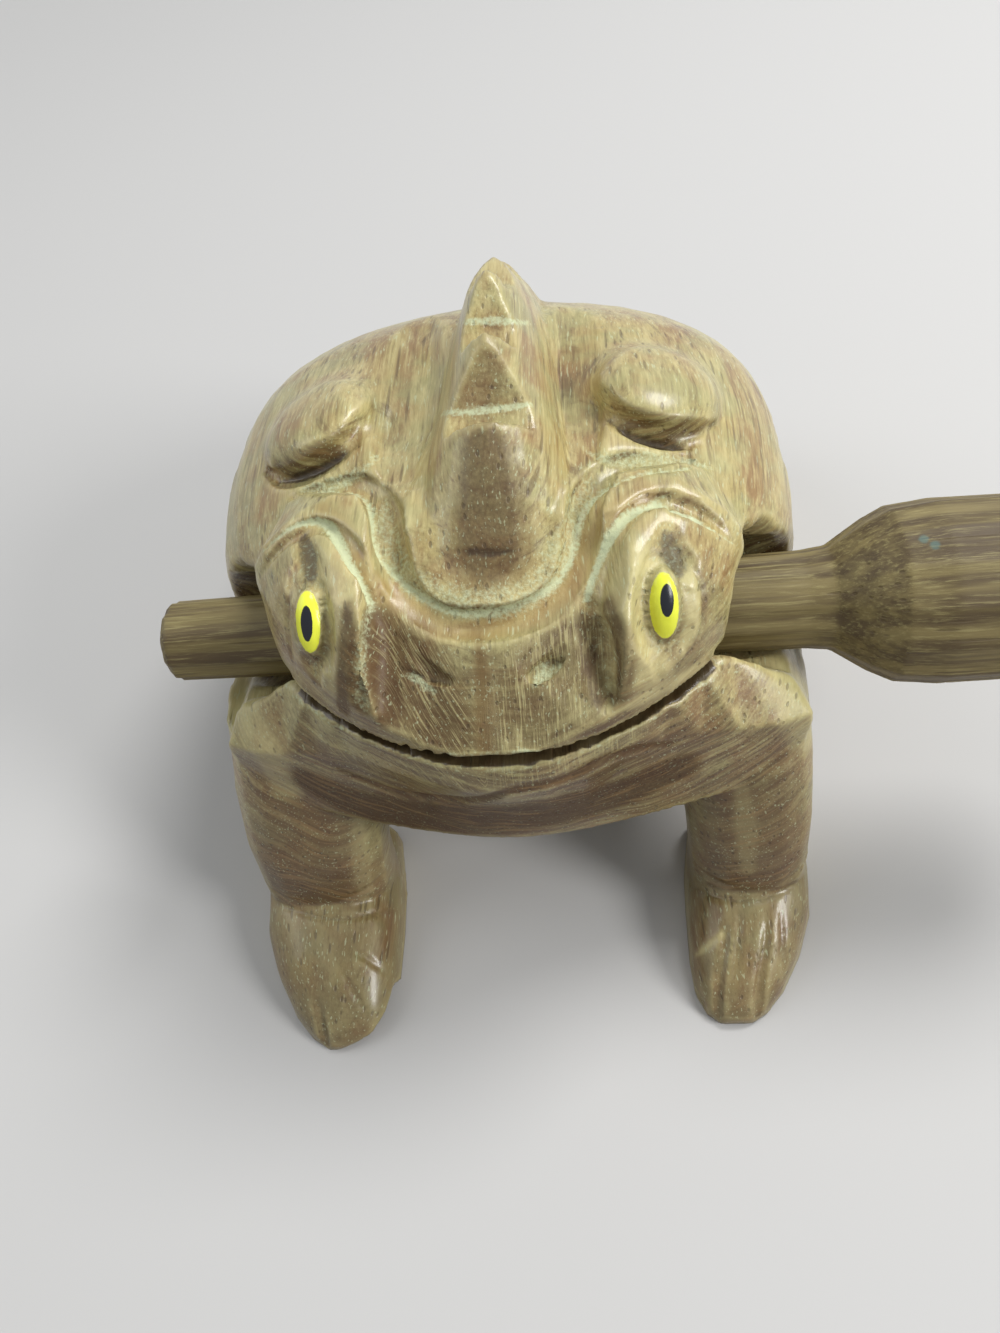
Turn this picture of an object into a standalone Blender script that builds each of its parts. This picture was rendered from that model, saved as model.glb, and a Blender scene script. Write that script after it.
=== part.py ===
"""A carved wooden frog rattle and the stick that scrapes it.

The frog faces -Y, X runs from side to side and Z is up. Lengths are in metres.
The frog is carved from one block. The stick is stored in a bore behind its mouth.
"""

from math import cos, exp, hypot, pi, radians, sin

import bmesh
import bpy
from mathutils import Vector

# Whole animal
SNOUT_REACH = 0.0506
RUMP_REACH = 0.052
BODY_WIDTH = 0.078
BACK_HEIGHT = 0.061
BELLY_HEIGHT = 0.014
BACK_LEAN = -0.0023

# Head
CROWN_HEIGHT = 0.0605
MOUTH_HEIGHT = 0.0446
HEAD_WIDTH = 0.062
HEAD_SWEEP = 0.01826
HEAD_CORNER = 0.0060
HEAD_BACK = -0.0140
CROWN_BACK = -0.0235
CROWN_FALL = 0.0160
SNOUT_WIDTH = 0.0226
SNOUT_FLARE = 0.0018
LEFT_WALL_SPREAD = 0.0020
RIGHT_WALL_SPREAD = 0.0042
MOUND_WALL_RISE = 0.0050
SNOUT_DROP = 0.0055
SNOUT_SLOPE_REACH = 0.0084
FACET_FALL = 0.0030
FACET_FOOT_STAND = 0.0004
NOSTRIL_RADIUS = 0.0010
NOSTRIL_STAND = 0.0004

# Chest and shoulders
SHOULDER_WIDTH = 0.073
SHOULDER_REACH = 0.0425
SHOULDER_FALL = 0.0055
SHOULDER_CORNER = 0.0030
JAW_EDGE_HEIGHT = 0.040
CHEST_BOTTOM = 0.0165

# Eyes
EYE_SPREAD = 0.0378
EYE_REACH = 0.0398
EYE_DROP = 0.0035
EYE_WIDTH = 0.0044
EYE_LENGTH = 0.0090
EYE_THICKNESS = 0.0052
EYE_SETBACK = 0.0016
EYE_SETDOWN = 0.0018
LEFT_EYE_OUT = 0.0006
SOCKET_RADIUS = 0.0044
SOCKET_DEPTH = 0.0021

# Spine
CREST_HEIGHT = 0.0714
RIDGE_WIDTH = 0.0144
RIDGE_LEAN = 0.0008
NOTCH_DEPTH = 0.0030
NOTCH_FLOOR = 0.0033
NOTCH_HEADROOM = 0.0060
TOOTH_TIP = 0.0012
TOOTH_PITCH = 0.0118
FIRST_NOTCH = -0.0200
RIDGE_ROOT = 0.0070
LEAST_RIDGE = 0.0010

# Humps on the back
DOME_SPREAD = 0.0410
DOME_Y = -0.0062
DOME_WIDTH = 0.0156
DOME_LENGTH = 0.0186
DOME_RISE = 0.0029
DOME_TILT = 0.17
LEFT_DOME_OUT = 0.0022

# Grooves and gouges
VALLEY_RADIUS = 0.0075
VALLEY_DEPTH = 0.0026
VALLEY_OUT = 0.0035
VALLEY_FRONT = -0.0300
VALLEY_BACK = 0.0240
COLLAR_RADIUS = 0.0022
COLLAR_SPREAD = 0.0250
COLLAR_REACH = 0.0402
COLLAR_DROP = 0.0043
BROW_RADIUS = 0.0014
BROW_SPREAD = 0.0290
BROW_REACH = 0.0392
BROW_DROP = 0.0075
UNDERCUT_RADIUS = 0.0016
UNDERCUT_LIFT = 0.0003
TOE_CUT_RADIUS = 0.0007
WRIST_CUT_RADIUS = 0.0008

# Mouth slit and bore
SLIT_THICKNESS = 0.0015
BORE_DIAMETER = 0.0160
BORE_Y = -0.0280

# Front legs
LEG_SPREAD = 0.0594
LEFT_LEG_WIDTH = 0.0202
RIGHT_LEG_WIDTH = 0.0172
LEFT_FOOT_REACH = 0.0677
RIGHT_FOOT_REACH = 0.0652
LEG_REACH = 0.0440
LEG_RISE = 0.0240
LEG_DEPTH = 0.0100
WRIST_HEIGHT = 0.0092
WRIST_CUT_LIFT = 0.0012
FRONT_FOOT_HEIGHT = 0.0102
HEEL_REACH = 0.0335
FOOT_TURN = 0.0034
TOE_SPREAD = 0.0027
TOE_CUT_LENGTH = 0.0162

# Hind legs
THIGH_SPREAD = 0.0580
THIGH_Y = 0.0260
THIGH_HEIGHT = 0.0210
THIGH_LENGTH = 0.0440
THIGH_THICKNESS = 0.0200
THIGH_DEPTH = 0.0310
HIND_FOOT_SPREAD = 0.0670
HIND_FOOT_WIDTH = 0.0170
HIND_FOOT_HEIGHT = 0.0090
HIND_FOOT_FRONT = -0.0040
HIND_FOOT_BACK = 0.0400
HIND_FOOT_TURN = 0.0036

# Stick
STICK_TIP_DIAMETER = 0.0106
STICK_TIP_CHAMFER = 0.0008
STICK_NECK_DIAMETER = 0.0122
STICK_HEAD_DIAMETER = 0.0224
STICK_TIP_REACH = 0.0432
STICK_NECK_REACH = 0.0390
STICK_FLARE_LENGTH = 0.0070
STICK_HEAD_LENGTH = 0.0360
STICK_HEIGHT = 0.0420
STICK_SIDES = 14
SEAT_GAP = 0.0003

# How far a cutter reaches beyond the block
CUT_BEYOND = 0.0100

# How finely round forms are divided
RING_POINTS = 36
TORSO_RINGS = 24
FRONT_POINTS = 17
DOME_POINTS = 24


def clear_scene():
    """Start from an empty scene."""
    for thing in list(bpy.data.objects):
        bpy.data.objects.remove(thing)


def wood(name, color, roughness):
    """A plain wood colour for one piece."""
    material = bpy.data.materials.new(name)
    material.use_nodes = True
    shader = material.node_tree.nodes["Principled BSDF"]
    shader.inputs["Base Color"].default_value = (*color, 1.0)
    shader.inputs["Roughness"].default_value = roughness
    shader.inputs["Metallic"].default_value = 0.0
    return material


def add_object(name, bm):
    """Turn a bmesh into an object of flat triangles, which cut cleanly."""
    bm.normal_update()
    bmesh.ops.triangulate(bm, faces=bm.faces)
    bmesh.ops.recalc_face_normals(bm, faces=bm.faces)
    mesh = bpy.data.meshes.new(name)
    bm.to_mesh(mesh)
    bm.free()
    thing = bpy.data.objects.new(name, mesh)
    bpy.context.scene.collection.objects.link(thing)
    return thing


def apply_modifiers(thing):
    """Replace an object's mesh by the one its modifiers make."""
    shown = thing.evaluated_get(bpy.context.evaluated_depsgraph_get())
    mesh = bpy.data.meshes.new_from_object(shown)
    thing.modifiers.clear()
    thing.data = mesh


def combine(target, tool, operation):
    """Join a tool to the target, or cut it away, and drop the tool."""
    step = target.modifiers.new("step", "BOOLEAN")
    step.operation = operation
    step.solver = "EXACT"
    step.object = tool
    apply_modifiers(target)
    bpy.data.objects.remove(tool)


def join(target, tool):
    """Add a tool to the target."""
    combine(target, tool, "UNION")


def cut(target, tool):
    """Carve a tool out of the target."""
    combine(target, tool, "DIFFERENCE")


def loft(name, rings):
    """A closed solid through rings that have the same number of points."""
    bm = bmesh.new()
    rows = [[bm.verts.new(point) for point in ring] for ring in rings]
    for low, high in zip(rows, rows[1:]):
        for i in range(len(low)):
            j = (i + 1) % len(low)
            bm.faces.new((low[i], low[j], high[j], high[i]))
    bm.faces.new(rows[0])
    bm.faces.new(rows[-1])
    return add_object(name, bm)


def ellipsoid(name, center, size, tilt=0.0):
    """An egg of a given size, tipped about X."""
    bm = bmesh.new()
    bmesh.ops.create_uvsphere(bm, u_segments=20, v_segments=12, radius=0.5)
    bmesh.ops.scale(bm, vec=size, verts=bm.verts)
    thing = add_object(name, bm)
    thing.location = center
    thing.rotation_euler.x = tilt
    bpy.context.view_layer.update()
    return thing


def gouge(name, points, radius, shares, sides=6):
    """A round-nosed gouge swept along a smooth line, thinner where a share is below one."""
    curve = bpy.data.curves.new(name, "CURVE")
    curve.dimensions = "3D"
    curve.bevel_depth = radius
    curve.bevel_resolution = (sides - 4) // 2
    curve.use_fill_caps = True
    curve.resolution_u = 4
    spline = curve.splines.new("BEZIER")
    spline.bezier_points.add(len(points) - 1)
    for knot, point, share in zip(spline.bezier_points, points, shares):
        knot.co = point
        knot.radius = share
        knot.handle_left_type = "AUTO"
        knot.handle_right_type = "AUTO"
    guide = bpy.data.objects.new(name, curve)
    bpy.context.scene.collection.objects.link(guide)
    shown = guide.evaluated_get(bpy.context.evaluated_depsgraph_get())
    bm = bmesh.new()
    bm.from_mesh(bpy.data.meshes.new_from_object(shown))
    bpy.data.objects.remove(guide)
    bmesh.ops.remove_doubles(bm, verts=bm.verts, dist=0.000001)
    return add_object(name, bm)


def smooth(stations, where):
    """Read a row of values at a place along stations, on a smooth curve through them."""
    last = len(stations) - 1
    k = 0
    while k < last - 1 and where > stations[k + 1][0]:
        k += 1
    before = stations[max(k - 1, 0)]
    start = stations[k]
    end = stations[k + 1]
    after = stations[min(k + 2, last)]
    span = end[0] - start[0]
    t = (where - start[0]) / span
    values = []
    for column in range(1, len(start)):
        slope_in = (end[column] - before[column]) / (end[0] - before[0]) * span
        slope_out = (after[column] - start[column]) / (after[0] - start[0]) * span
        value = (
            (2 * t**3 - 3 * t**2 + 1) * start[column]
            + (t**3 - 2 * t**2 + t) * slope_in
            + (3 * t**2 - 2 * t**3) * end[column]
            + (t**3 - t**2) * slope_out
        )
        values.append(value)
    return values


def reach(share):
    """A place along the body: -1 is the snout and 1 is the rump."""
    return share * (SNOUT_REACH if share < 0 else RUMP_REACH)


def along(y):
    """The share of the way along the body at which a place lies."""
    return y / (SNOUT_REACH if y < 0 else RUMP_REACH)


# Place along the body, then shares of half width, back height and belly height.
TORSO = (
    (-0.75, 0.62, 0.900, 1.60),
    (-0.61, 0.80, 0.970, 1.35),
    (-0.47, 0.91, 0.990, 1.15),
    (-0.28, 0.98, 1.000, 1.00),
    (0.00, 1.00, 1.000, 0.95),
    (0.25, 0.97, 0.960, 0.90),
    (0.48, 0.88, 0.850, 0.75),
    (0.71, 0.69, 0.675, 0.60),
    (0.87, 0.47, 0.490, 0.55),
    (0.96, 0.27, 0.350, 0.65),
    (1.00, 0.10, 0.260, 0.85),
)
BACK_ROUNDNESS = 2.15
BELLY_ROUNDNESS = 2.4
WIDEST_SHARE = 0.57


def torso_section(y):
    """Half width, top, bottom and height of the widest line at a place along the body."""
    width, top, bottom = smooth(TORSO, along(y))
    half = width * BODY_WIDTH / 2
    high = top * BACK_HEIGHT
    low = bottom * BELLY_HEIGHT
    return half, high, low, low + (high - low) * WIDEST_SHARE


def back_at(x, y):
    """Height of the uncarved back."""
    half, high, low, middle = torso_section(y)
    side = min(abs(x) / half, 0.98)
    return middle + (high - middle) * (1 - side**BACK_ROUNDNESS) ** (1 / BACK_ROUNDNESS)


def power(value, exponent):
    """A power that keeps the sign of its base."""
    return abs(value) ** exponent * (1 if value >= 0 else -1)


def make_torso():
    """The egg-shaped trunk, from inside the head to the rump."""
    first = TORSO[0][0]
    last = TORSO[-1][0]
    rings = []
    for k in range(TORSO_RINGS):
        t = k / (TORSO_RINGS - 1)
        share = first + (last - first) * (1 - (1 - t) ** 1.35)
        y = reach(share)
        half, high, low, middle = torso_section(y)
        lean = 0.5 * (1 + share)
        ring = []
        for i in range(RING_POINTS):
            angle = 2 * pi * i / RING_POINTS
            roundness = BACK_ROUNDNESS if sin(angle) >= 0 else BELLY_ROUNDNESS
            x = half * power(cos(angle), 2 / roundness)
            rise = power(sin(angle), 2 / roundness)
            z = middle + rise * (high - middle if rise >= 0 else middle - low)
            ring.append((x + BACK_LEAN * lean, y, z))
        rings.append(ring)
    return loft("torso", rings)


# Height share from the mouth to the crown, then shares of its fall back, half width and corners.
HEAD_LEVELS = (
    (-0.027, 0.000, 1.000, 0.67),
    (0.087, 0.000, 1.000, 0.67),
    (0.353, 0.025, 0.970, 0.75),
    (0.593, 0.125, 0.925, 0.83),
    (0.779, 0.269, 0.860, 0.92),
    (0.905, 0.444, 0.775, 1.00),
    (0.970, 0.688, 0.690, 1.00),
    (1.000, 1.000, 0.560, 1.00),
)


def front_line(half, nose, corner):
    """Points of a blunt arrow from side to side, seen from above."""
    line = []
    for i in range(FRONT_POINTS):
        x = half * (2 * i / (FRONT_POINTS - 1) - 1)
        sweep = HEAD_SWEEP * (2 * x / HEAD_WIDTH) ** 2
        line.append((x, -nose + sweep + HEAD_CORNER * corner * (x / half) ** 8))
    return line


def make_head():
    """The head above the mouth: a broad blunt arrow in plan, rounded over at the crown."""
    rings = []
    for share, fall, width, corner in HEAD_LEVELS:
        z = MOUTH_HEIGHT + share * (CROWN_HEIGHT - MOUTH_HEIGHT)
        line = front_line(width * HEAD_WIDTH / 2, SNOUT_REACH - fall * CROWN_FALL, corner)
        ring = [(x, y, z) for x, y in line]
        back = HEAD_BACK + (CROWN_BACK - HEAD_BACK) * max(0.0, (share - 0.62) / 0.38)
        ring.append((line[-1][0] * 0.9, back, z))
        ring.append((line[0][0] * 0.9, back, z))
        rings.append(ring)
    return loft("head", rings)


# Share of the drop from the jaw's edge, then shares of the fall towards the shoulders, of their
# half width and reach, of how far the chin stands before them, and of the width over which it does.
CHEST_LEVELS = (
    (0.000, 1.000, 1.000, 1.000, 1.15, 0.466),
    (0.034, 1.055, 1.006, 1.000, 1.12, 0.471),
    (0.340, 0.636, 0.989, 0.986, 0.98, 0.630),
    (0.620, 0.090, 0.918, 0.988, 0.95, 0.712),
    (0.860, 0.000, 0.781, 0.882, 0.75, 0.712),
    (1.000, 0.000, 0.616, 0.741, 0.63, 0.712),
)


def make_chest():
    """The lower jaw and the shoulders: a chin in the middle of a broad chest."""
    drop = JAW_EDGE_HEIGHT - CHEST_BOTTOM
    half = SHOULDER_WIDTH / 2
    chin = SNOUT_REACH - SHOULDER_REACH
    line = front_line(HEAD_WIDTH / 2, SNOUT_REACH, HEAD_LEVELS[0][3])
    ring = [(x, y, MOUTH_HEIGHT) for x, y in line]
    ring.append((line[-1][0] * 0.92, HEAD_BACK, MOUTH_HEIGHT))
    ring.append((line[0][0] * 0.92, HEAD_BACK, MOUTH_HEIGHT))
    rings = [ring]
    for down, fall, width, shoulder, stand, spread in CHEST_LEVELS:
        ring = []
        height = JAW_EDGE_HEIGHT - down * drop
        for i in range(FRONT_POINTS):
            side = 2 * i / (FRONT_POINTS - 1) - 1
            x = half * width * side
            bulge = chin * stand * exp(-((x / (half * spread)) ** 2))
            y = -SHOULDER_REACH * shoulder - bulge + SHOULDER_CORNER * side**8
            ring.append((x, y, height - SHOULDER_FALL * fall * side * side))
        ring.append((half * width * 0.92, HEAD_BACK, height - SHOULDER_FALL * fall))
        ring.append((-half * width * 0.92, HEAD_BACK, height - SHOULDER_FALL * fall))
        rings.append(ring)
    return loft("chest", rings)


def make_snout_cutter():
    """Planes off the two snout facets and the forehead, and slopes the walls of the eye mounds."""
    rings = []
    half = SNOUT_WIDTH / 2
    low = MOUTH_HEIGHT + SLIT_THICKNESS * 0.2
    top = CROWN_HEIGHT - SNOUT_DROP
    front = -SNOUT_REACH - CUT_BEYOND
    # Place from side to side, how far the plane's top falls back, wall height.
    for x, fall, lift in (
        (-half - LEFT_WALL_SPREAD, FACET_FALL * 1.13, MOUND_WALL_RISE),
        (-half, FACET_FALL, 0.0),
        (0.0, 0.0, 0.0),
        (half, FACET_FALL, 0.0),
        (half + RIGHT_WALL_SPREAD, FACET_FALL * 1.13, MOUND_WALL_RISE),
    ):
        foot_y = -SNOUT_REACH - FACET_FOOT_STAND
        top_y = -SNOUT_REACH + SNOUT_SLOPE_REACH + fall
        wide = x * (1 + SNOUT_FLARE / half)
        rings.append((
            (wide, foot_y - lift * 0.75, low + lift * 0.66),
            (x, top_y - lift * 0.6, top + lift * 0.7),
            (x, BORE_Y, CROWN_HEIGHT + SNOUT_DROP * 0.1),
            (x, BORE_Y, CREST_HEIGHT),
            (x, front, CREST_HEIGHT),
            (wide, front, low + lift * 0.66),
        ))
    return loft("snout_cutter", rings)


# Place along the body, crest height share, half width share and bluntness of the ridge.
RIDGE = (
    (-0.770, 0.770, 1.15, 2.3),
    (-0.700, 0.806, 1.45, 2.4),
    (-0.610, 0.852, 1.58, 2.4),
    (-0.530, 0.888, 1.52, 2.2),
    (-0.390, 0.935, 1.34, 1.9),
    (-0.240, 0.970, 1.16, 1.7),
    (-0.060, 0.996, 1.04, 1.55),
    (0.065, 1.000, 0.98, 1.50),
    (0.150, 0.978, 0.94, 1.50),
    (0.250, 0.932, 0.90, 1.45),
    (0.480, 0.818, 0.84, 1.40),
    (0.710, 0.655, 0.76, 1.4),
    (0.870, 0.495, 0.66, 1.4),
    (0.960, 0.365, 0.52, 1.4),
    (1.005, 0.270, 0.30, 1.6),
)
RIDGE_RINGS = 26
RIDGE_POINTS = 11


def crest_at(y):
    """Height of the uncut crest."""
    return smooth(RIDGE, along(y))[0] * CREST_HEIGHT


def make_ridge():
    """The spine: a peaked ridge, blunt at the head and sharp towards the rump."""
    first = RIDGE[0][0]
    last = RIDGE[-1][0]
    rings = []
    for k in range(RIDGE_RINGS):
        share = first + (last - first) * k / (RIDGE_RINGS - 1)
        y = reach(share)
        crest, width, blunt = smooth(RIDGE, share)
        top = crest * CREST_HEIGHT
        half = width * RIDGE_WIDTH / 2
        root = min(back_at(0.0, min(y, reach(0.99))), top) - RIDGE_ROOT
        foot = min(back_at(half, min(y, reach(0.99))), top - LEAST_RIDGE) - VALLEY_DEPTH
        ring = []
        for i in range(RIDGE_POINTS):
            side = 2 * i / (RIDGE_POINTS - 1) - 1
            ring.append((RIDGE_LEAN + half * side, y, top - (top - foot) * abs(side) ** blunt))
        ring.append((RIDGE_LEAN + half * 0.8, y, min(root, foot - LEAST_RIDGE)))
        ring.append((RIDGE_LEAN - half * 0.8, y, min(root, foot - LEAST_RIDGE)))
        rings.append(ring)
    return loft("ridge", rings)


def notch_places():
    """Places of the notches, one tooth apart along the crest."""
    places = []
    step = TOOTH_PITCH / 60
    y = FIRST_NOTCH
    run = TOOTH_PITCH
    while y < RUMP_REACH * 0.93:
        if run >= TOOTH_PITCH:
            places.append(y)
            run -= TOOTH_PITCH
        run += hypot(step, crest_at(y + step) - crest_at(y))
        y += step
    return places


def make_notch_cutter(start, end):
    """A saw-tooth notch: a steep wall behind one tooth and the long front face of the next."""
    low = Vector((0.0, start, crest_at(start)))
    high = Vector((0.0, end, crest_at(end)))
    run = (high - low).normalized()
    up = Vector((0.0, -run.z, run.y))
    floor = low - up * NOTCH_DEPTH
    tip = high - run * TOOTH_TIP
    outline = (
        floor,
        floor + run * NOTCH_FLOOR,
        tip + up * NOTCH_DEPTH * 0.03,
        tip + up * NOTCH_HEADROOM,
        low + up * NOTCH_HEADROOM,
    )
    wide = RIDGE_WIDTH
    rings = [[(x, point.y, point.z) for point in outline] for x in (-wide, wide)]
    return loft("notch_cutter", rings)


def make_spine():
    """The ridge with its row of teeth."""
    spine = make_ridge()
    places = notch_places()
    for start, end in zip(places, places[1:]):
        cut(spine, make_notch_cutter(start, end))
    return spine


def mirrored(points, side):
    """The same points on one side of the animal."""
    return [(side * x, y, z) for x, y, z in points]


def valley_cutter(side):
    """The hollow between the spine and the hump."""
    points = []
    x = RIDGE_WIDTH / 2 + VALLEY_OUT
    for share in (0.0, 0.17, 0.35, 0.56, 0.76, 1.0):
        y = VALLEY_FRONT + share * (VALLEY_BACK - VALLEY_FRONT)
        points.append((x, y, back_at(x, y) + VALLEY_RADIUS - VALLEY_DEPTH))
    shares = (0.35, 0.8, 1.0, 1.0, 0.8, 0.3)
    return gouge("valley_cutter", mirrored(points, side), VALLEY_RADIUS, shares, 10)


def on_crown(line, spread, length, drop):
    """A groove's points from shares of its spread, its reach and its drop below the crown."""
    return [(x * spread, -y * length, CROWN_HEIGHT - z * drop) for x, y, z in line]


def collar_cutter():
    """The U-shaped groove round the foot of the spine, out to the front of each hump."""
    line = (
        (0.220, 0.975, 0.907),
        (0.360, 0.891, 0.628),
        (0.424, 0.771, 0.349),
        (0.472, 0.622, 0.116),
        (0.600, 0.510, 0.163),
        (0.800, 0.478, 0.395),
        (1.000, 0.473, 0.860),
    )
    right = on_crown(line, COLLAR_SPREAD, COLLAR_REACH, COLLAR_DROP)
    middle = on_crown([(0.0, 1.0, 1.0)], COLLAR_SPREAD, COLLAR_REACH, COLLAR_DROP)
    points = mirrored(reversed(right), -1) + middle + right
    shares = (0.3, 0.6, 0.9) + (1.0,) * 9 + (0.9, 0.6, 0.3)
    return gouge("collar_cutter", points, COLLAR_RADIUS, shares, 8)


def brow_cutter(side):
    """The V-shaped groove behind an eye mound."""
    line = (
        (0.386, 1.000, 0.600),
        (0.455, 0.880, 0.120),
        (0.545, 0.765, -0.053),
        (0.641, 0.707, -0.040),
        (0.776, 0.719, 0.147),
        (0.903, 0.755, 0.520),
        (1.000, 0.781, 1.000),
    )
    points = on_crown(line, BROW_SPREAD, BROW_REACH, BROW_DROP)
    shares = (0.9, 1.0, 1.1, 1.2, 0.9, 0.6, 0.3)
    return gouge("brow_cutter", mirrored(points, side), BROW_RADIUS, shares, 6)


def eye_place(side):
    """Distance of an eye from the middle; the left one lies a little further out."""
    return EYE_SPREAD / 2 + (LEFT_EYE_OUT if side < 0 else 0.0)


def socket_cutter(side):
    """The long gouge that an eye lies in."""
    eye = Vector((eye_place(side), -EYE_REACH, CROWN_HEIGHT - EYE_DROP))
    out = Vector((0.25, -0.62, 0.74)).normalized() * (SOCKET_RADIUS - SOCKET_DEPTH)
    # Steps from the middle of the eye, as shares of its length.
    line = (
        (-0.156, -0.644, -0.778),
        (-0.044, -0.289, -0.333),
        (0.0, 0.0, 0.0),
        (0.022, 0.489, 0.289),
        (0.022, 1.000, 0.400),
    )
    points = [tuple(eye + out + Vector(step) * EYE_LENGTH) for step in line]
    return gouge("socket_cutter", mirrored(points, side), SOCKET_RADIUS, (0.55, 0.9, 1.0, 0.85, 0.5), 8)


def make_eye(side):
    """The low almond-shaped swell that is painted as an eye."""
    size = (EYE_WIDTH, EYE_THICKNESS, EYE_LENGTH)
    height = CROWN_HEIGHT - EYE_DROP - EYE_SETDOWN
    center = (side * eye_place(side), -EYE_REACH + EYE_SETBACK, height)
    return ellipsoid("eye", center, size, radians(-38))


def nostril_cutter(side):
    """A short slanting nick in a snout facet."""
    points = []
    rise = CROWN_HEIGHT - SNOUT_DROP - MOUTH_HEIGHT
    for out, share in ((0.354, 0.66), (0.549, 0.72), (0.743, 0.86)):
        x = out * SNOUT_WIDTH / 2
        y = -SNOUT_REACH + (SNOUT_SLOPE_REACH + FACET_FALL * out) * share
        z = MOUTH_HEIGHT + rise * share
        points.append((x, y - NOSTRIL_STAND, z + NOSTRIL_STAND / 2))
    return gouge("nostril_cutter", mirrored(points, side), NOSTRIL_RADIUS, (0.5, 1.0, 0.4), 6)


def dome_place(side):
    """Distance of a hump from the middle; the left one lies further out."""
    return DOME_SPREAD / 2 + (LEFT_DOME_OUT if side < 0 else 0.0)


def dome_ring(x, share, lift):
    """An oval round the middle of a hump, parallel to the back: its size share and its height."""
    step = DOME_WIDTH / 8
    slope_x = (back_at(x + step, DOME_Y) - back_at(x - step, DOME_Y)) / (2 * step)
    slope_y = (back_at(x, DOME_Y + step) - back_at(x, DOME_Y - step)) / (2 * step) - DOME_TILT
    ring = []
    for i in range(DOME_POINTS):
        angle = 2 * pi * i / DOME_POINTS
        px = share * DOME_WIDTH / 2 * cos(angle)
        py = share * DOME_LENGTH / 2 * sin(angle)
        ring.append((x + px, DOME_Y + py, back_at(x, DOME_Y) + slope_x * px + slope_y * py + lift))
    return ring


# Shares of a hump's size and of its rise, from under its rim up to its top.
DOME_PROFILE = (
    (0.920, -2.20),
    (1.000, -0.50),
    (0.985, 0.00),
    (0.930, 0.30),
    (0.810, 0.58),
    (0.620, 0.83),
    (0.360, 0.97),
    (0.100, 1.00),
)


def make_dome(side):
    """A hump like a lens laid on the back, with a clear rim."""
    x = dome_place(side)
    rings = [mirrored(dome_ring(x, share, rise * DOME_RISE), side) for share, rise in DOME_PROFILE]
    return loft("dome", rings)


def undercut_cutter(side):
    """The deep crescent cut under a hump's front edge."""
    x = dome_place(side)
    points = []
    for angle in (-62, -32, -2, 28, 58):
        px = sin(radians(angle)) * DOME_WIDTH * 0.52
        py = -cos(radians(angle)) * DOME_LENGTH * 0.52
        points.append((x + px, DOME_Y + py, back_at(x + px, DOME_Y + py) + UNDERCUT_LIFT))
    shares = (0.4, 0.9, 1.1, 0.9, 0.4)
    return gouge("undercut_cutter", mirrored(points, side), UNDERCUT_RADIUS, shares, 6)


def limb(name, sections, side):
    """An upright limb through flat oval sections: centre and half sizes in X and Y."""
    rings = []
    for x, y, z, half_x, half_y in sections:
        ring = []
        for i in range(16):
            angle = 2 * pi * i / 16
            px = half_x * power(cos(angle), 0.8)
            py = half_y * power(sin(angle), 0.8)
            ring.append((side * x + px, y + py, z))
        rings.append(ring)
    return loft(name, rings)


def foot(name, sections, side):
    """A flat-soled foot through upright sections: place, half width and height."""
    rings = []
    for x, y, half, height in sections:
        ring = []
        for i in range(11):
            angle = pi * i / 10
            px = half * power(cos(angle), 0.75)
            pz = height * power(sin(angle), 0.8)
            ring.append((side * x + px, y, pz))
        rings.append(ring)
    return loft(name, rings)


def leg_width(side):
    """The two front legs were not carved quite alike."""
    return LEFT_LEG_WIDTH if side < 0 else RIGHT_LEG_WIDTH


# Shares of a front leg's reach, rise above the wrist, half width and depth, downwards.
LEG_SECTIONS = (
    (0.682, 1.000, 0.890, 1.00),
    (0.800, 0.625, 1.000, 0.95),
    (0.909, 0.290, 1.000, 0.88),
    (0.977, 0.000, 0.935, 0.78),
    (1.000, -0.250, 0.935, 0.74),
)

# Shares of the way from heel to toe, of the turn inwards, and of a foot's half width and height.
FRONT_FOOT_SECTIONS = (
    (0.000, 0.00, 0.55, 0.59),
    (0.076, -0.06, 0.87, 0.80),
    (0.320, -0.09, 1.02, 1.00),
    (0.530, 0.06, 1.00, 0.92),
    (0.720, 0.41, 0.87, 0.75),
    (0.872, 0.76, 0.68, 0.51),
    (0.958, 0.94, 0.46, 0.31),
    (1.000, 1.00, 0.24, 0.16),
)
HIND_FOOT_SECTIONS = (
    (0.00, 0.00, 0.29, 0.22),
    (0.05, 0.00, 0.62, 0.44),
    (0.20, 0.00, 0.91, 0.69),
    (0.45, 0.14, 1.00, 1.00),
    (0.75, 0.42, 1.00, 1.11),
    (0.92, 0.78, 0.76, 1.00),
    (1.00, 1.00, 0.35, 0.56),
)


def front_leg(side):
    """A stout front leg that leans forward to its wrist."""
    half = leg_width(side) / 2
    sections = []
    for out, rise, width, depth in LEG_SECTIONS:
        height = WRIST_HEIGHT + rise * LEG_RISE
        sections.append((LEG_SPREAD / 2, -out * LEG_REACH, height, width * half, depth * LEG_DEPTH))
    return limb("front_leg", sections, side)


def toe_reach(side):
    """The two front feet don't reach equally far."""
    return LEFT_FOOT_REACH if side < 0 else RIGHT_FOOT_REACH


def front_foot(side):
    """A front foot, turned in a little and narrowed to its toes."""
    half = leg_width(side) / 2
    sections = []
    for share, turn, width, height in FRONT_FOOT_SECTIONS:
        x = LEG_SPREAD / 2 - turn * FOOT_TURN
        y = -HEEL_REACH - share * (toe_reach(side) - HEEL_REACH)
        sections.append((x, y, width * half, height * FRONT_FOOT_HEIGHT))
    return foot("front_foot", sections, side)


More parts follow.
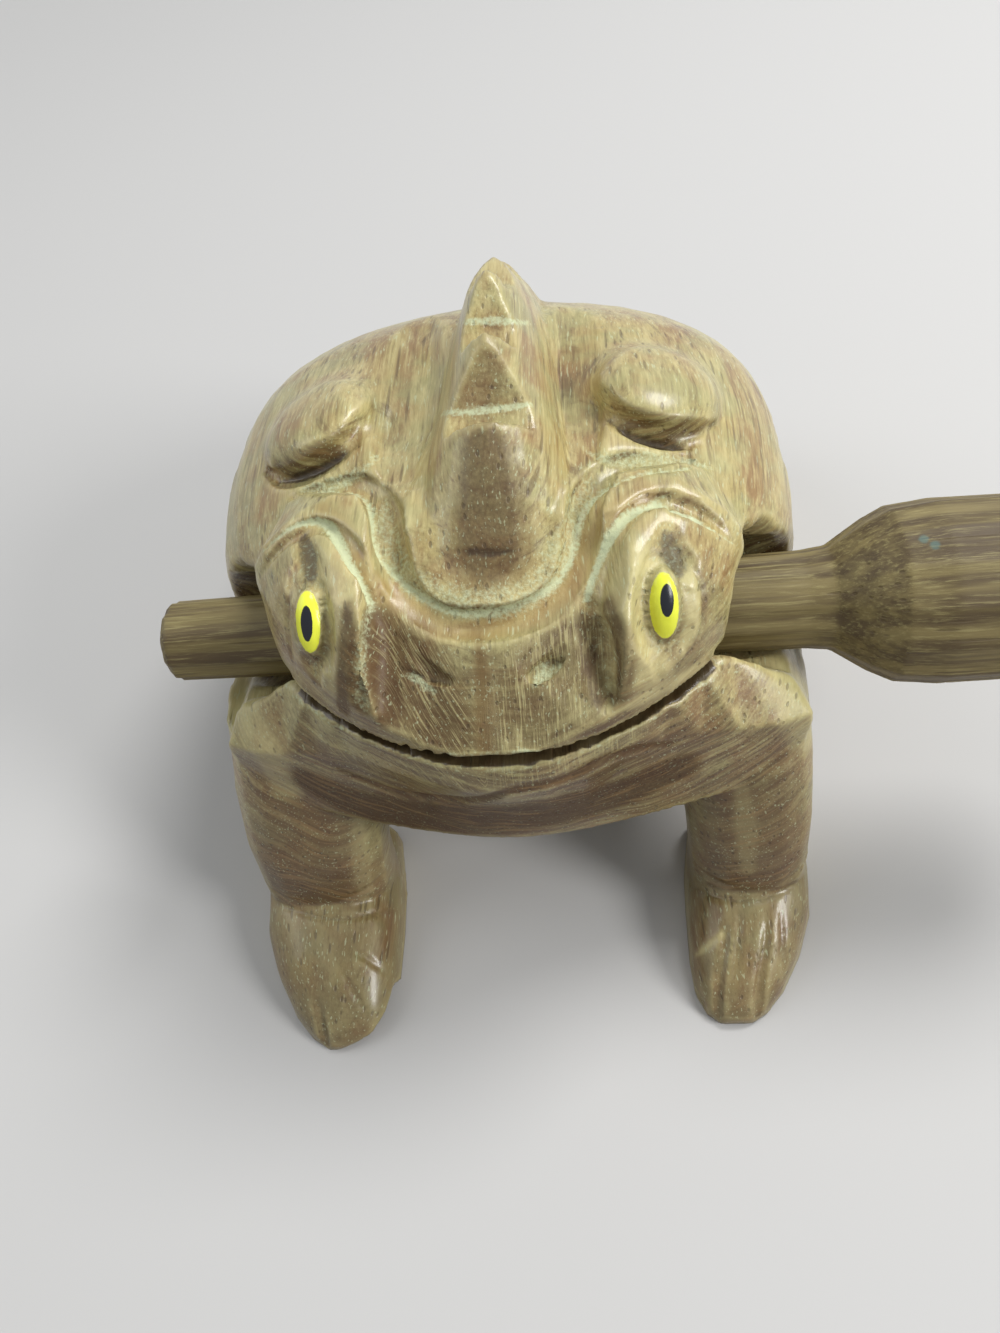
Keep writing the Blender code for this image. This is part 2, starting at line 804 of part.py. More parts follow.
def hind_foot(side):
    """A long hind foot that points forward beside the belly."""
    sections = []
    for share, turn, width, height in HIND_FOOT_SECTIONS:
        x = HIND_FOOT_SPREAD / 2 - turn * HIND_FOOT_TURN
        y = HIND_FOOT_FRONT + share * (HIND_FOOT_BACK - HIND_FOOT_FRONT)
        sections.append((x, y, width * HIND_FOOT_WIDTH / 2, height * HIND_FOOT_HEIGHT))
    return foot("hind_foot", sections, side)


def thigh(side):
    """The folded hind leg, a big egg against the flank."""
    center = (side * THIGH_SPREAD / 2, THIGH_Y, THIGH_HEIGHT)
    size = (THIGH_THICKNESS, THIGH_LENGTH, THIGH_DEPTH)
    return ellipsoid("thigh", center, size, radians(-24))


# Shares of a toe cut's length, of a front foot's turn, and of the foot's height.
FRONT_TOE_CUT = (
    (1.00, 0.35, 1.02),
    (0.57, 0.44, 0.75),
    (0.24, 0.82, 0.49),
    (-0.04, 1.00, 0.10),
)
HIND_TOE_CUT = (
    (0.80, 0.87),
    (0.37, 0.64),
    (-0.04, 0.13),
)


def toe_cutters(side):
    """Two cuts in each foot that part its toes."""
    tools = []
    for offset in (-TOE_SPREAD, TOE_SPREAD):
        points = []
        for share, turn, height in FRONT_TOE_CUT:
            x = LEG_SPREAD / 2 - turn * FOOT_TURN + offset
            y = share * TOE_CUT_LENGTH - toe_reach(side)
            points.append((x, y, height * FRONT_FOOT_HEIGHT))
        tools.append(gouge("toe_cutter", mirrored(points, side), TOE_CUT_RADIUS, (0.4, 1.0, 1.2, 1.2)))
        points = []
        for share, height in HIND_TOE_CUT:
            x = HIND_FOOT_SPREAD / 2 + offset
            y = HIND_FOOT_FRONT + share * TOE_CUT_LENGTH
            points.append((x, y, height * HIND_FOOT_HEIGHT))
        tools.append(gouge("toe_cutter", mirrored(points, side), TOE_CUT_RADIUS, (0.4, 1.0, 1.3)))
    return tools


def wrist_cutter(side):
    """The line carved across a wrist."""
    half = leg_width(side) / 2
    points = []
    for angle in (-80, -50, -20, 10, 40, 70):
        x = LEG_SPREAD / 2 + half * 1.04 * sin(radians(angle))
        y = -LEG_REACH * 0.977 - LEG_DEPTH * 0.82 * cos(radians(angle))
        points.append((x, y, WRIST_HEIGHT + WRIST_CUT_LIFT))
    return gouge("wrist_cutter", mirrored(points, side), WRIST_CUT_RADIUS, (0.6, 1, 1, 1, 1, 0.6))


def make_bore_cutter():
    """The bore that stores the stick, from side to side behind the mouth."""
    bm = bmesh.new()
    bmesh.ops.create_cone(
        bm, segments=32, cap_ends=True, radius1=BORE_DIAMETER / 2, radius2=BORE_DIAMETER / 2,
        depth=BODY_WIDTH * 1.3,
    )
    cutter = add_object("bore_cutter", bm)
    lift = BORE_DIAMETER / 2 - STICK_NECK_DIAMETER / 2 - SEAT_GAP
    cutter.location = (0.0, BORE_Y, STICK_HEIGHT + lift)
    cutter.rotation_euler.y = pi / 2
    bpy.context.view_layer.update()
    return cutter


def make_slit_cutter():
    """The saw cut of the mouth, from the snout back to the bore."""
    bm = bmesh.new()
    bmesh.ops.create_cube(bm, size=1.0)
    front = -SNOUT_REACH - CUT_BEYOND
    bmesh.ops.scale(bm, vec=(BODY_WIDTH * 1.2, BORE_Y - front, SLIT_THICKNESS), verts=bm.verts)
    cutter = add_object("slit_cutter", bm)
    cutter.location = (0.0, (BORE_Y + front) / 2, MOUTH_HEIGHT)
    bpy.context.view_layer.update()
    return cutter


def make_frog():
    """Rough out the block, then carve it."""
    frog = make_torso()
    frog.name = "frog_body"
    join(frog, make_head())
    join(frog, make_chest())
    cut(frog, make_snout_cutter())
    for side in (-1, 1):
        join(frog, front_leg(side))
        join(frog, front_foot(side))
        join(frog, thigh(side))
        join(frog, hind_foot(side))
        cut(frog, valley_cutter(side))
    join(frog, make_spine())
    for side in (-1, 1):
        join(frog, make_dome(side))
        cut(frog, undercut_cutter(side))
        cut(frog, brow_cutter(side))
        cut(frog, socket_cutter(side))
        join(frog, make_eye(side))
        cut(frog, nostril_cutter(side))
        cut(frog, wrist_cutter(side))
        for tool in toe_cutters(side):
            cut(frog, tool)
    cut(frog, collar_cutter())
    cut(frog, make_slit_cutter())
    cut(frog, make_bore_cutter())
    return frog


def make_stick():
    """The scraper: a thin shank that flares into a thick round head."""
    head_start = STICK_NECK_REACH + STICK_FLARE_LENGTH
    end = head_start + STICK_HEAD_LENGTH
    tip = STICK_TIP_DIAMETER / 2
    neck = STICK_NECK_DIAMETER / 2
    thick = STICK_HEAD_DIAMETER / 2
    flare = STICK_FLARE_LENGTH
    head = STICK_HEAD_LENGTH
    # Place along the stick and radius there.
    profile = (
        (-STICK_TIP_REACH, tip - STICK_TIP_CHAMFER),
        (-STICK_TIP_REACH + STICK_TIP_CHAMFER, tip),
        (STICK_NECK_REACH - flare * 0.43, neck),
        (STICK_NECK_REACH, neck * 1.06),
        (STICK_NECK_REACH + flare * 0.6, neck + (thick - neck) * 0.62),
        (head_start, thick * 0.95),
        (head_start + head * 0.14, thick),
        (end - head * 0.17, thick * 0.97),
        (end - head * 0.06, thick * 0.84),
        (end, thick * 0.59),
    )
    rings = []
    for x, radius in profile:
        ring = []
        for i in range(STICK_SIDES):
            angle = 2 * pi * i / STICK_SIDES - pi / 2
            ring.append((x, radius * cos(angle), radius * sin(angle)))
        rings.append(ring)
    stick = loft("striker_stick", rings)
    stick.location = (0.0, BORE_Y, STICK_HEIGHT)
    return stick


def finish(thing, material, crease):
    """Give a piece its wood and soften its facets, apart from true edges."""
    thing.data.materials.clear()
    thing.data.materials.append(material)
    thing.data.shade_smooth()
    thing.data.set_sharp_from_angle(angle=radians(crease))


def stand_on_origin(things):
    """Move the pieces so that the middle of their common footprint is the origin."""
    bpy.context.view_layer.update()
    corners = [thing.matrix_world @ vertex.co for thing in things for vertex in thing.data.vertices]
    low = [min(corner[axis] for corner in corners) for axis in range(3)]
    high = [max(corner[axis] for corner in corners) for axis in range(3)]
    shift = Vector(((low[0] + high[0]) / 2, (low[1] + high[1]) / 2, low[2]))
    for thing in things:
        thing.location -= shift


def build():
    """Carve the frog, whittle its stick and stand them on the floor."""
    clear_scene()
    frog = make_frog()
    finish(frog, wood("frog_wood", (0.36, 0.21, 0.09), 0.45), 24)
    stick = make_stick()
    finish(stick, wood("stick_wood", (0.33, 0.23, 0.12), 0.55), 15)
    stand_on_origin((frog, stick))


build()
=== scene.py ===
# %% [markdown]
# # Dressing a carved frog rattle
#
# The frame is the packed model: a frog cut from one block of wood and the stick that scrapes
# its spine. This lesson gives both their carved surface and their finish. The frame says
# where everything is, so it is loaded first and never moved.

# %% Load the frame
from math import cos, radians, sin

import bmesh
import bpy
import numpy as np
from mathutils import Matrix, Vector
from mathutils.bvhtree import BVHTree
from mathutils.kdtree import KDTree


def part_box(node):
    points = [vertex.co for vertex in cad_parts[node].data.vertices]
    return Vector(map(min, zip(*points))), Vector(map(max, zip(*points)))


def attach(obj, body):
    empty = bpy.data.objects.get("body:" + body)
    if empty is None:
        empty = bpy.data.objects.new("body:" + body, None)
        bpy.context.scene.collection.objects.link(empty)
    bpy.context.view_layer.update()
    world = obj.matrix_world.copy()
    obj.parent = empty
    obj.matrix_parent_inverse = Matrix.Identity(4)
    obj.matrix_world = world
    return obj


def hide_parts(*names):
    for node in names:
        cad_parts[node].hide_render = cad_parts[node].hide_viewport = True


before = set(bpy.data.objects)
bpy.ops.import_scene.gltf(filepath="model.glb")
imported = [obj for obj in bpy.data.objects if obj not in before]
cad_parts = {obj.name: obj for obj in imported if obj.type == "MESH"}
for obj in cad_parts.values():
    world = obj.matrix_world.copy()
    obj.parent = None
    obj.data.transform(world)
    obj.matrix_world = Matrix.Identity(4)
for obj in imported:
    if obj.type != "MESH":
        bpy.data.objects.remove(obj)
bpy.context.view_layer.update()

# %% [markdown]
# ## The frog's own axes
#
# Carving is easier in the frog's own axes: X from side to side with 0 on its middle, -Y
# towards its nose, Z up, all in millimetres. The stick gives the origin, because it lies
# across the frog at a known distance behind the middle.

# %% Frog axes
STICK_TIP_REACH = 43.2
STICK_BEHIND_MIDDLE = -28.0
stick_low, stick_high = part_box("striker_stick")
origin = np.array([
    stick_low.x * 1000 + STICK_TIP_REACH,
    (stick_low.y + stick_high.y) * 500 - STICK_BEHIND_MIDDLE,
    0.0,
])


def to_world(points):
    """Frog millimetres to the frame's metres."""
    return (np.asarray(points, float) + origin) / 1000


def to_frog(points):
    """The frame's metres to frog millimetres."""
    return np.asarray(points, float) * 1000 - origin


print("frog origin", origin.round(1))

# %% [markdown]
# ## The camera
#
# The photograph looks down on the frog from in front, a little from its left, with the phone
# tilted. The camera is set up before the carving, because a chisel line can then be laid
# where the photograph shows it: a ray through a pixel finds the wood under it.

# %% Camera
PHOTO_WIDTH = 1000
PHOTO_HEIGHT = 1333
FOCAL_PIXELS = 1001.0
CAMERA_PLACE = (13.7, -108.2, 137.0)
LOOK_DOWN = radians(52.0)
LOOK_ASIDE = radians(11.0)
ROLL = radians(-12.2)
SENSOR = 36.0

ahead = np.array([-sin(LOOK_ASIDE) * cos(LOOK_DOWN), cos(LOOK_ASIDE) * cos(LOOK_DOWN), -sin(LOOK_DOWN)])
level = np.cross(ahead, (0.0, 0.0, 1.0))
level /= np.linalg.norm(level)
upright = np.cross(level, ahead)
right = cos(ROLL) * level + sin(ROLL) * upright
up = cos(ROLL) * upright - sin(ROLL) * level


def make_camera():
    """A camera at the photograph's place."""
    data = bpy.data.cameras.new("photo_view")
    data.sensor_width = SENSOR
    data.lens = FOCAL_PIXELS / PHOTO_HEIGHT * SENSOR
    data.clip_start = 0.01
    camera = bpy.data.objects.new("photo_view", data)
    bpy.context.scene.collection.objects.link(camera)
    turn = Matrix((right, up, -ahead)).transposed()
    camera.matrix_world = Matrix.Translation(to_world(CAMERA_PLACE)) @ turn.to_4x4()
    bpy.context.scene.camera = camera
    return camera


def ray_through(pixel):
    """The direction in which the camera sees a pixel."""
    across = (pixel[0] - PHOTO_WIDTH / 2) / FOCAL_PIXELS
    down = (pixel[1] - PHOTO_HEIGHT / 2) / FOCAL_PIXELS
    return ahead + across * right - down * up


camera = make_camera()
print("lens", round(camera.data.lens, 2), "mm")

# %% [markdown]
# ## A block fine enough to carve
#
# The frame's frog has the right form but large flat triangles. A fresh skin of small, even
# squares takes fine chisel work, so the form is remeshed by voxels. The far side and the
# bore get no chisel work, so their skin is thinned out again.

# %% Fresh skin
GRID = 0.00046
WELD = 0.00001
SKIN_LIMIT = 192000
TURNED_AWAY = 0.15
CARVED_BACK = 12.0


def bake(piece):
    """Replace a piece's mesh by the one its modifiers make."""
    shown = piece.evaluated_get(bpy.context.evaluated_depsgraph_get())
    mesh = bpy.data.meshes.new_from_object(shown)
    piece.modifiers.clear()
    piece.data = mesh


def surface_of(mesh, places):
    """A surface to search, with the faces of a mesh and its points at these places."""
    faces = [list(face.vertices) for face in mesh.polygons]
    return BVHTree.FromPolygons([Vector(place) for place in places], faces)


def fresh_skin(node, name, grid):
    """A copy of a node with an even, fine skin, which lies on the surface of the node."""
    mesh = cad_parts[node].data.copy()
    mesh.materials.clear()
    piece = bpy.data.objects.new(name, mesh)
    bpy.context.scene.collection.objects.link(piece)
    weld = piece.modifiers.new("weld", "WELD")
    weld.merge_threshold = WELD
    bake(piece)
    block = surface_of(piece.data, [corner.co for corner in piece.data.vertices])
    skin = piece.modifiers.new("skin", "REMESH")
    skin.mode = "VOXEL"
    skin.voxel_size = grid
    bake(piece)
    for corner in piece.data.vertices:
        corner.co = block.find_nearest(corner.co)[0]
    piece.data.name = name
    piece.data.shade_smooth()
    return piece


def read_points(mesh):
    """Places and outward directions of a mesh's points, in frog millimetres."""
    places = np.empty(len(mesh.vertices) * 3)
    mesh.vertices.foreach_get("co", places)
    facing = np.empty(len(mesh.vertices) * 3)
    mesh.vertex_normals.foreach_get("vector", facing)
    return to_frog(places.reshape(-1, 3)), facing.reshape(-1, 3)


def thin_far_side(piece):
    """Leave the skin fine where the carving is, and thin it elsewhere."""
    places, normals = read_points(piece.data)
    toward = np.array(CAMERA_PLACE) - places
    toward /= np.linalg.norm(toward, axis=1)[:, None]
    carved = (normals * toward).sum(1) > TURNED_AWAY
    carved &= places[:, 1] < CARVED_BACK
    group = piece.vertex_groups.new(name="far")
    for index in np.flatnonzero(~carved):
        group.add([int(index)], 1.0, "REPLACE")
    triangles = sum(len(face.vertices) - 2 for face in piece.data.polygons)
    thin = piece.modifiers.new("thin", "DECIMATE")
    thin.ratio = SKIN_LIMIT / triangles
    thin.vertex_group = "far"
    bake(piece)
    piece.vertex_groups.clear()


frog = fresh_skin("frog_body", "carved_frog", GRID)
print("frog skin", len(frog.data.polygons), "faces")
thin_far_side(frog)
print("thinned to", sum(len(face.vertices) - 2 for face in frog.data.polygons), "triangles")

# %% [markdown]
# ## Where the cuts are
#
# Sanding rounds broad forms and leaves a knife cut crisp. The frame's sharp edges say where
# the cuts are. The back half of each hump's rim is not a cut: it was rubbed until it ran out
# into the back, so its places are kept apart.

# %% Cuts
SHARP = radians(26)
SHARP_ON_FACE = radians(9)
RIM_STEP = 0.4
FACE_BACK = -20.0
FACE_FOOT = 38.0
HUMP_ASIDE = (10.0, 33.0)
HUMP_BACK = (-7.0, 6.0)
HUMP_FOOT = 48.0


def on_face(place):
    """On the head in front, where even a shallow edge is a cut."""
    return place[1] < FACE_BACK and place[2] > FACE_FOOT


def behind_hump(place):
    """On the back half of a hump's rim, which runs out into the back."""
    beside = HUMP_ASIDE[0] < abs(place[0]) < HUMP_ASIDE[1]
    return beside and HUMP_BACK[0] < place[1] < HUMP_BACK[1] and place[2] > HUMP_FOOT


def sharp_places(node):
    """Places along the sharp edges of a node of the frame."""
    shape = bmesh.new()
    shape.from_mesh(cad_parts[node].data)
    bmesh.ops.remove_doubles(shape, verts=shape.verts, dist=WELD)
    found = []
    for rim in shape.edges:
        start, end = (to_frog(corner.co) for corner in rim.verts)
        limit = SHARP_ON_FACE if on_face(start) else SHARP
        if len(rim.link_faces) == 2 and rim.calc_face_angle() > limit:
            steps = max(2, int(np.linalg.norm(end - start) / RIM_STEP))
            found += [start + (end - start) * k / steps for k in range(steps + 1)]
    shape.free()
    return found


found = sharp_places("frog_body")
cuts = [place for place in found if not behind_hump(place)]
hump_rims = [place for place in found if behind_hump(place)]
print("cuts", len(cuts), "hump rims", len(hump_rims))

# %% [markdown]
# ## Sanding
#
# Sandpaper draws each point of the wood towards its neighbours. How much is a share from 0 to
# 1 that differs from point to point: nothing on a cut, all of it a little way off. The rim of
# the bore gets its own turn. On the real frog its upper side hangs a little over the stick.

# %% Sanding
SANDING_ROUNDS = 12
SANDING_SHARE = 0.6
FIRST_SHARE = 0.35
CUT_GUARD = 0.3
CUT_REACH = 1.2
BLEND_ROUNDS = 60
BLEND_REACH = 3.0


def edge_pairs(mesh):
    """The two points of each edge."""
    pairs = np.empty(len(mesh.edges) * 2, np.int32)
    mesh.edges.foreach_get("vertices", pairs)
    return pairs.reshape(-1, 2)


def mean_of_neighbours(pairs, field):
    """The mean of each point's neighbours, for a value or for places."""
    count = np.bincount(pairs.ravel(), minlength=len(field))
    columns = field.reshape(len(field), -1).T
    totals = [
        np.bincount(pairs[:, 0], column[pairs[:, 1]], len(field))
        + np.bincount(pairs[:, 1], column[pairs[:, 0]], len(field))
        for column in columns
    ]
    return (np.array(totals) / count).T.reshape(field.shape)


def smooth(pairs, places, share, rounds):
    """Draw the places towards their neighbours', each by its own share."""
    for _ in range(rounds):
        places += share[:, None] * (mean_of_neighbours(pairs, places) - places)


def gap_to(places, targets):
    """How far each place is from the nearest target."""
    near = KDTree(len(targets))
    for index, target in enumerate(targets):
        near.insert(target, index)
    near.balance()
    return np.array([near.find(place)[2] for place in places])


points, _ = read_points(frog.data)
pairs = edge_pairs(frog.data)
from_cut = gap_to(points, cuts)
share = np.clip((from_cut - CUT_GUARD) / CUT_REACH, 0.0, 1.0) * SANDING_SHARE
smooth(pairs, points, np.maximum(share, FIRST_SHARE), 1)
smooth(pairs, points, share, SANDING_ROUNDS - 1)
share = np.clip((BLEND_REACH - gap_to(points, hump_rims)) / BLEND_REACH, 0.0, SANDING_SHARE)
share *= np.clip(gap_to(points, cuts) / CUT_REACH, 0.0, 1.0)
smooth(pairs, points, share, BLEND_ROUNDS)
print("sanded", len(points), "points")

# %% Bore rims
BORE_MIDDLE = (-28.0, 43.9)
BORE_RADIUS = 8.0
RIM_OVERHANG = 1.5
RIM_WIDTH = 1.5
RIM_FADE = 6.0
RIM_START = 3.3
RIM_REACH = 10.5
RIM_ASIDE = 24.0
RIM_ROUNDS = 14


def draw_rims_in(places):
    """Draw the bore's upper rims in over the stick; gives how far each place is from the bore's line."""
    aside = places[:, 1:] - BORE_MIDDLE
    from_bore = np.linalg.norm(aside, axis=1)
    above = np.clip(aside[:, 1] / from_bore, 0, 1)
    outside = np.clip(np.abs(places[:, 0]) / RIM_FADE - RIM_START, 0, 1)
    near = np.clip(BORE_RADIUS + RIM_WIDTH - from_bore, 0, 1)
    inwards = above * outside * (near * RIM_OVERHANG)
    places[:, 1:] -= aside / from_bore[:, None] * inwards[:, None]
    return from_bore


from_bore = draw_rims_in(points)
rim = (from_bore < RIM_REACH) & (np.abs(points[:, 0]) > RIM_ASIDE)
smooth(pairs, points, rim * SANDING_SHARE, RIM_ROUNDS)
frog.data.vertices.foreach_set("co", to_world(points).ravel())
frog.data.update()
points, facing = read_points(frog.data)
tree = surface_of(frog.data, points)
print("rim points", int(rim.sum()))

# %% [markdown]
# ## Chisel and brush
#
# A chisel stroke and a brush stroke are the same thing: a line on the wood with a width.
# The chisel lowers the points along it, with a V or a round bottom, and the brush raises a
# value that the finish reads later, such as how torn or how dark the wood is there, and how
# much painted shade or highlight it gets.

# %% Strokes
STROKE_STEPS = 6
WASH_SPREAD = 1.5
RUB_SHARE = 0.6
VALUES = ("torn", "dark", "shade", "honey", "dusty", "scored", "pale")
values = {name: np.zeros(len(points)) for name in VALUES}


def lattice(places, seed):
    """Smooth random values from 0 to 1 in space, mixed from whole numbers at the grid's corners."""
    corner = np.floor(places).astype(np.int64)
    part = places - corner
    ease = part * part * (3 - 2 * part)
    total = np.zeros(len(places))
    for dx in (0, 1):
        for dy in (0, 1):
            for dz in (0, 1):
                n = (corner[:, 0] + dx) * 73856093 ^ (corner[:, 1] + dy) * 19349663
                n = n ^ (corner[:, 2] + dz) * 83492791 ^ seed * 2654435761
                n = (n ^ (n >> 13)) * 1274126177
                share = ((n >> 7) & 0xFFFF) / 0xFFFF
                weight = np.ones(len(places))
                for axis, step in enumerate((dx, dy, dz)):
                    weight = weight * (ease[:, axis] if step else 1 - ease[:, axis])
                total += share * weight
    return total


def rounded(corners, steps=STROKE_STEPS):
    """A smooth line through a few corners."""
    corners = np.array(corners, float)
    padded = np.vstack([2 * corners[0] - corners[1], corners, 2 * corners[-1] - corners[-2]])
    line = []
    for k in range(1, len(padded) - 2):
        before, start, end, after = padded[k - 1:k + 3]
        for t in np.arange(steps) / steps:
            line.append(
                0.5 * (2 * start + (end - before) * t + (2 * before - 5 * start + 4 * end - after) * t**2
                       + (3 * start - before - 3 * end + after) * t**3)
            )
    line.append(corners[-1])
    return np.array(line)


def on_wood(pixels):
    """The places on the frog that the camera sees at these pixels."""
    found = []
    for pixel in pixels:
        hit = tree.ray_cast(Vector(CAMERA_PLACE), Vector(ray_through(pixel)))[0]
        if hit is not None:
            found.append(np.array(hit))
    return np.array(found)


def nearest_on(line, places):
    """How far each place is from a line, and the share of the line at which it is nearest."""
    distance = np.full(len(places), 1e9)
    share = np.zeros(len(places))
    for k in range(len(line) - 1):
        run = line[k + 1] - line[k]
        t = np.clip((places - line[k]) @ run / (run @ run + 1e-12), 0, 1)
        gap = np.linalg.norm(places - line[k] - t[:, None] * run, axis=1)
        closer = gap < distance
        distance[closer] = gap[closer]
        share[closer] = (k + t[closer]) / (len(line) - 1)
    return distance, share


def stroke(corners, widths, depth=0.0, bottom="V", **touch):
    """Carve along a line of pixels, and raise values along it. Widths are in millimetres."""
    line = on_wood(rounded(corners))
    margin = max(widths)
    near = np.all((points > line.min(0) - margin) & (points < line.max(0) + margin), axis=1)
    chosen = np.flatnonzero(near)
    distance, share = nearest_on(line, points[chosen])
    half = np.interp(share, np.linspace(0, 1, len(widths)), widths) / 2
    inside = np.clip(1 - distance / np.maximum(half, 0.01), 0, 1)
    shape = inside if bottom == "V" else 1 - (1 - inside) ** 2
    fall = depth * shape * half / (max(widths) / 2)
    points[chosen] -= facing[chosen] * fall[:, None]
    for name, amount in touch.items():
        values[name][chosen] = np.maximum(values[name][chosen], amount * np.clip(inside * 2, 0, 1))


def wash(corners, widths, **touch):
    """Raise values in a broad soft band along a line of pixels."""
    stroke(corners, [width * WASH_SPREAD for width in widths], 0.0, "V", **touch)


def rub(corners, width, rounds):
    """Smooth the wood along a line of pixels."""
    distance, _ = nearest_on(on_wood(rounded(corners)), points)
    smooth(pairs, points, np.clip(2 - 4 * distance / width, 0, RUB_SHARE), rounds)


print("values", ", ".join(VALUES))

# %% [markdown]
# ## Collar and brows
#
# A rough collar runs in a U round the foot of the spine, and a V-shaped cut goes round the
# back of each eye mound and thins out towards the cheek. The blade tears the fibres, which
# stay pale and furry in the cut, while the land between the cuts is polished by hands.

# %% Collar and brow cuts
COLLAR_RIM = (
    (322, 492), (350, 493), (366, 500), (372, 516), (378, 551), (394, 573), (415, 592), (440, 608),
    (468, 615), (498, 612), (526, 603), (551, 588), (565, 572), (575, 547), (580, 523), (589, 505),
    (608, 487), (640, 474), (690, 468),
)
COLLAR_FLOOR = (
    (384, 505), (388, 530), (396, 555), (412, 578), (436, 594), (480, 604), (520, 597), (545, 580),
    (558, 558), (566, 530), (572, 505), (590, 482),
)
BROW_LEFT = ((371, 603), (361, 583), (351, 566), (342, 548), (334, 533), (325, 524), (310, 521))
BROW_LEFT_TAIL = ((316, 521), (293, 526), (273, 541), (260, 554))
BROW_RIGHT = ((586, 600), (591, 579), (600, 554), (613, 532), (632, 513), (656, 503))
BROW_RIGHT_TAIL = ((646, 506), (658, 505), (687, 515), (715, 531), (739, 547))
BROW_RIGHT_FORK = ((634, 511), (656, 500), (677, 492))

stroke(COLLAR_FLOOR, (3.0, 5.0, 6.5, 5.0, 3.0), 0.15, "U", torn=0.8, dusty=0.55)
stroke(COLLAR_RIM, (0.8, 1.3, 1.5, 1.5, 1.5, 1.3, 0.8), 0.5, "V", torn=0.8, dusty=0.85)
stroke(BROW_LEFT, (1.0, 1.9, 2.1, 1.9, 1.3), 0.6, "V", torn=0.7, dusty=1.0)
stroke(BROW_LEFT_TAIL, (1.3, 1.0, 0.3), 0.45, "V", dusty=1.0)
stroke(BROW_RIGHT, (1.0, 1.9, 2.1, 1.9, 1.3), 0.6, "V", torn=0.7, dusty=1.0)
stroke(BROW_RIGHT_TAIL, (1.1, 1.0, 0.3), 0.45, "V", dusty=1.0)
stroke(BROW_RIGHT_FORK, (0.9, 0.8, 0.3), 0.25, "V", dusty=0.8)
print("torn points", int((values["torn"] > 0.3).sum()))

# %% [markdown]
# ## Creases and walls
#
# The steep inner wall of each eye mound is a plane cut down with a flat chisel, and it is
# painted dark as shade, like a patch beside the right crease. It ends in a furry crease, where
# the chisel stopped and the fibres tore.

# %% Creases and walls
CREASE_LEFT = ((371, 606), (366, 640), (362, 678), (361, 706))
CREASE_RIGHT = ((587, 600), (598, 630), (606, 661), (610, 698))
SHADED_WALLS = (
    (2.2, ((349, 606), (347, 640), (344, 675), (343, 710))),
    (3.2, ((607, 605), (616, 635), (619, 665), (618, 698))),
    (2.4, ((585, 615), (590, 645), (594, 675), (598, 700))),
)

stroke(CREASE_LEFT, (2.2, 4.0, 4.4, 3.4), 0.9, "V", torn=0.8, dusty=0.55)
stroke(CREASE_RIGHT, (2.2, 4.6, 5.2, 3.6), 1.2, "V", torn=0.8, dusty=0.35)
# painted shade on the mound walls and on the patch beside the right crease
for width, wall in SHADED_WALLS:
    wash(wall, (width * 0.6, width, width, width * 0.8), shade=1.0, dark=0.55)
print("shaded points", int((values["shade"] > 0.3).sum()))

# %% [markdown]
# ## Eye sockets
#
# Each eye lies in a long gouged socket. Its top is painted dark as shade. A knife line runs
# round the socket, painted dark as shade, and small chips broke out beside the eye. A painted
# highlight lies beside the right eye.

# %% Eye sockets
SOCKET_PIT_LEFT = ((306, 540), (306, 565), (306, 600), (306, 635), (311, 660), (317, 682))
SOCKET_PIT_RIGHT = ((671, 533), (672, 556), (671, 590), (671, 625), (668, 650), (660, 674))
SOCKET_TOP_LEFT = ((303, 538), (306, 556), (308, 574))
SOCKET_TOP_RIGHT = ((668, 535), (674, 552), (680, 566))
SOCKET_SHEEN = ((680, 552), (692, 580), (694, 620), (684, 650))
SOCKET_RIMS = (
    ((306, 533), (296, 560), (288, 600), (289, 645), (300, 680)),
    ((306, 533), (317, 560), (325, 600), (326, 645), (315, 684)),
    ((662, 528), (652, 548), (645, 590), (643, 635), (653, 668)),
    ((662, 528), (684, 548), (702, 590), (700, 635), (676, 669)),
)
EYE_CHIPS = (
    ((322, 644), (323, 656)), ((305, 657), (314, 661), (323, 665)),
    ((640, 585), (640, 599)), ((640, 608), (641, 622)), ((677, 628), (674, 637)),
)

stroke(SOCKET_PIT_LEFT, (2.4, 5.4, 6.6, 6.6, 5.0, 2.0), 0.75, "U", dusty=0.42, torn=0.3)
stroke(SOCKET_PIT_RIGHT, (3.0, 6.6, 8.4, 8.4, 6.2, 2.0), 0.95, "U", dusty=0.42, torn=0.3)
# painted shade in the tops of the sockets
stroke(SOCKET_TOP_LEFT, (2.4, 3.8, 3.4), 0.2, "U", dark=0.85)
stroke(SOCKET_TOP_RIGHT, (3.0, 5.0, 4.2), 0.2, "U", dark=0.8)
# painted highlight beside the right eye
stroke(SOCKET_SHEEN, (1.6, 3.0, 3.0, 1.6), 0.0, "U", pale=1.0)
# painted shade in the knife lines round the sockets
for rim in SOCKET_RIMS:
    stroke(rim, (0.4, 0.9, 1.0, 0.9, 0.4), 0.3, "V", dark=0.62)
for chip in EYE_CHIPS:
    stroke(chip, (0.5, 0.9, 0.5), 0.2, "V", dark=1.0)
print("dark points", int((values["dark"] > 0.3).sum()))

# %% [markdown]
# ## Nostrils and the planes of the snout
#
# Each nostril is one push of the knife with the chip broken out below it, and the cut is
# painted dark as shade. The two planes of the snout are slightly hollow and keep the fine
# lines of the blade, and they get painted shade, the left one more.

# %% Nostrils and snout planes
NOSTRILS = (((399, 670), (422, 675), (446, 683)), ((543, 668), (553, 662), (564, 658)))
NOSTRIL_CHIPS = (((406, 675), (422, 683), (438, 698)), ((558, 664), (543, 672), (531, 692)))
PLANE_LEFT = ((385, 645), (410, 690), (430, 725))
SCORED_LEFT = ((405, 645), (425, 690), (440, 728))
PLANE_RIGHT = ((575, 640), (550, 680), (525, 725))
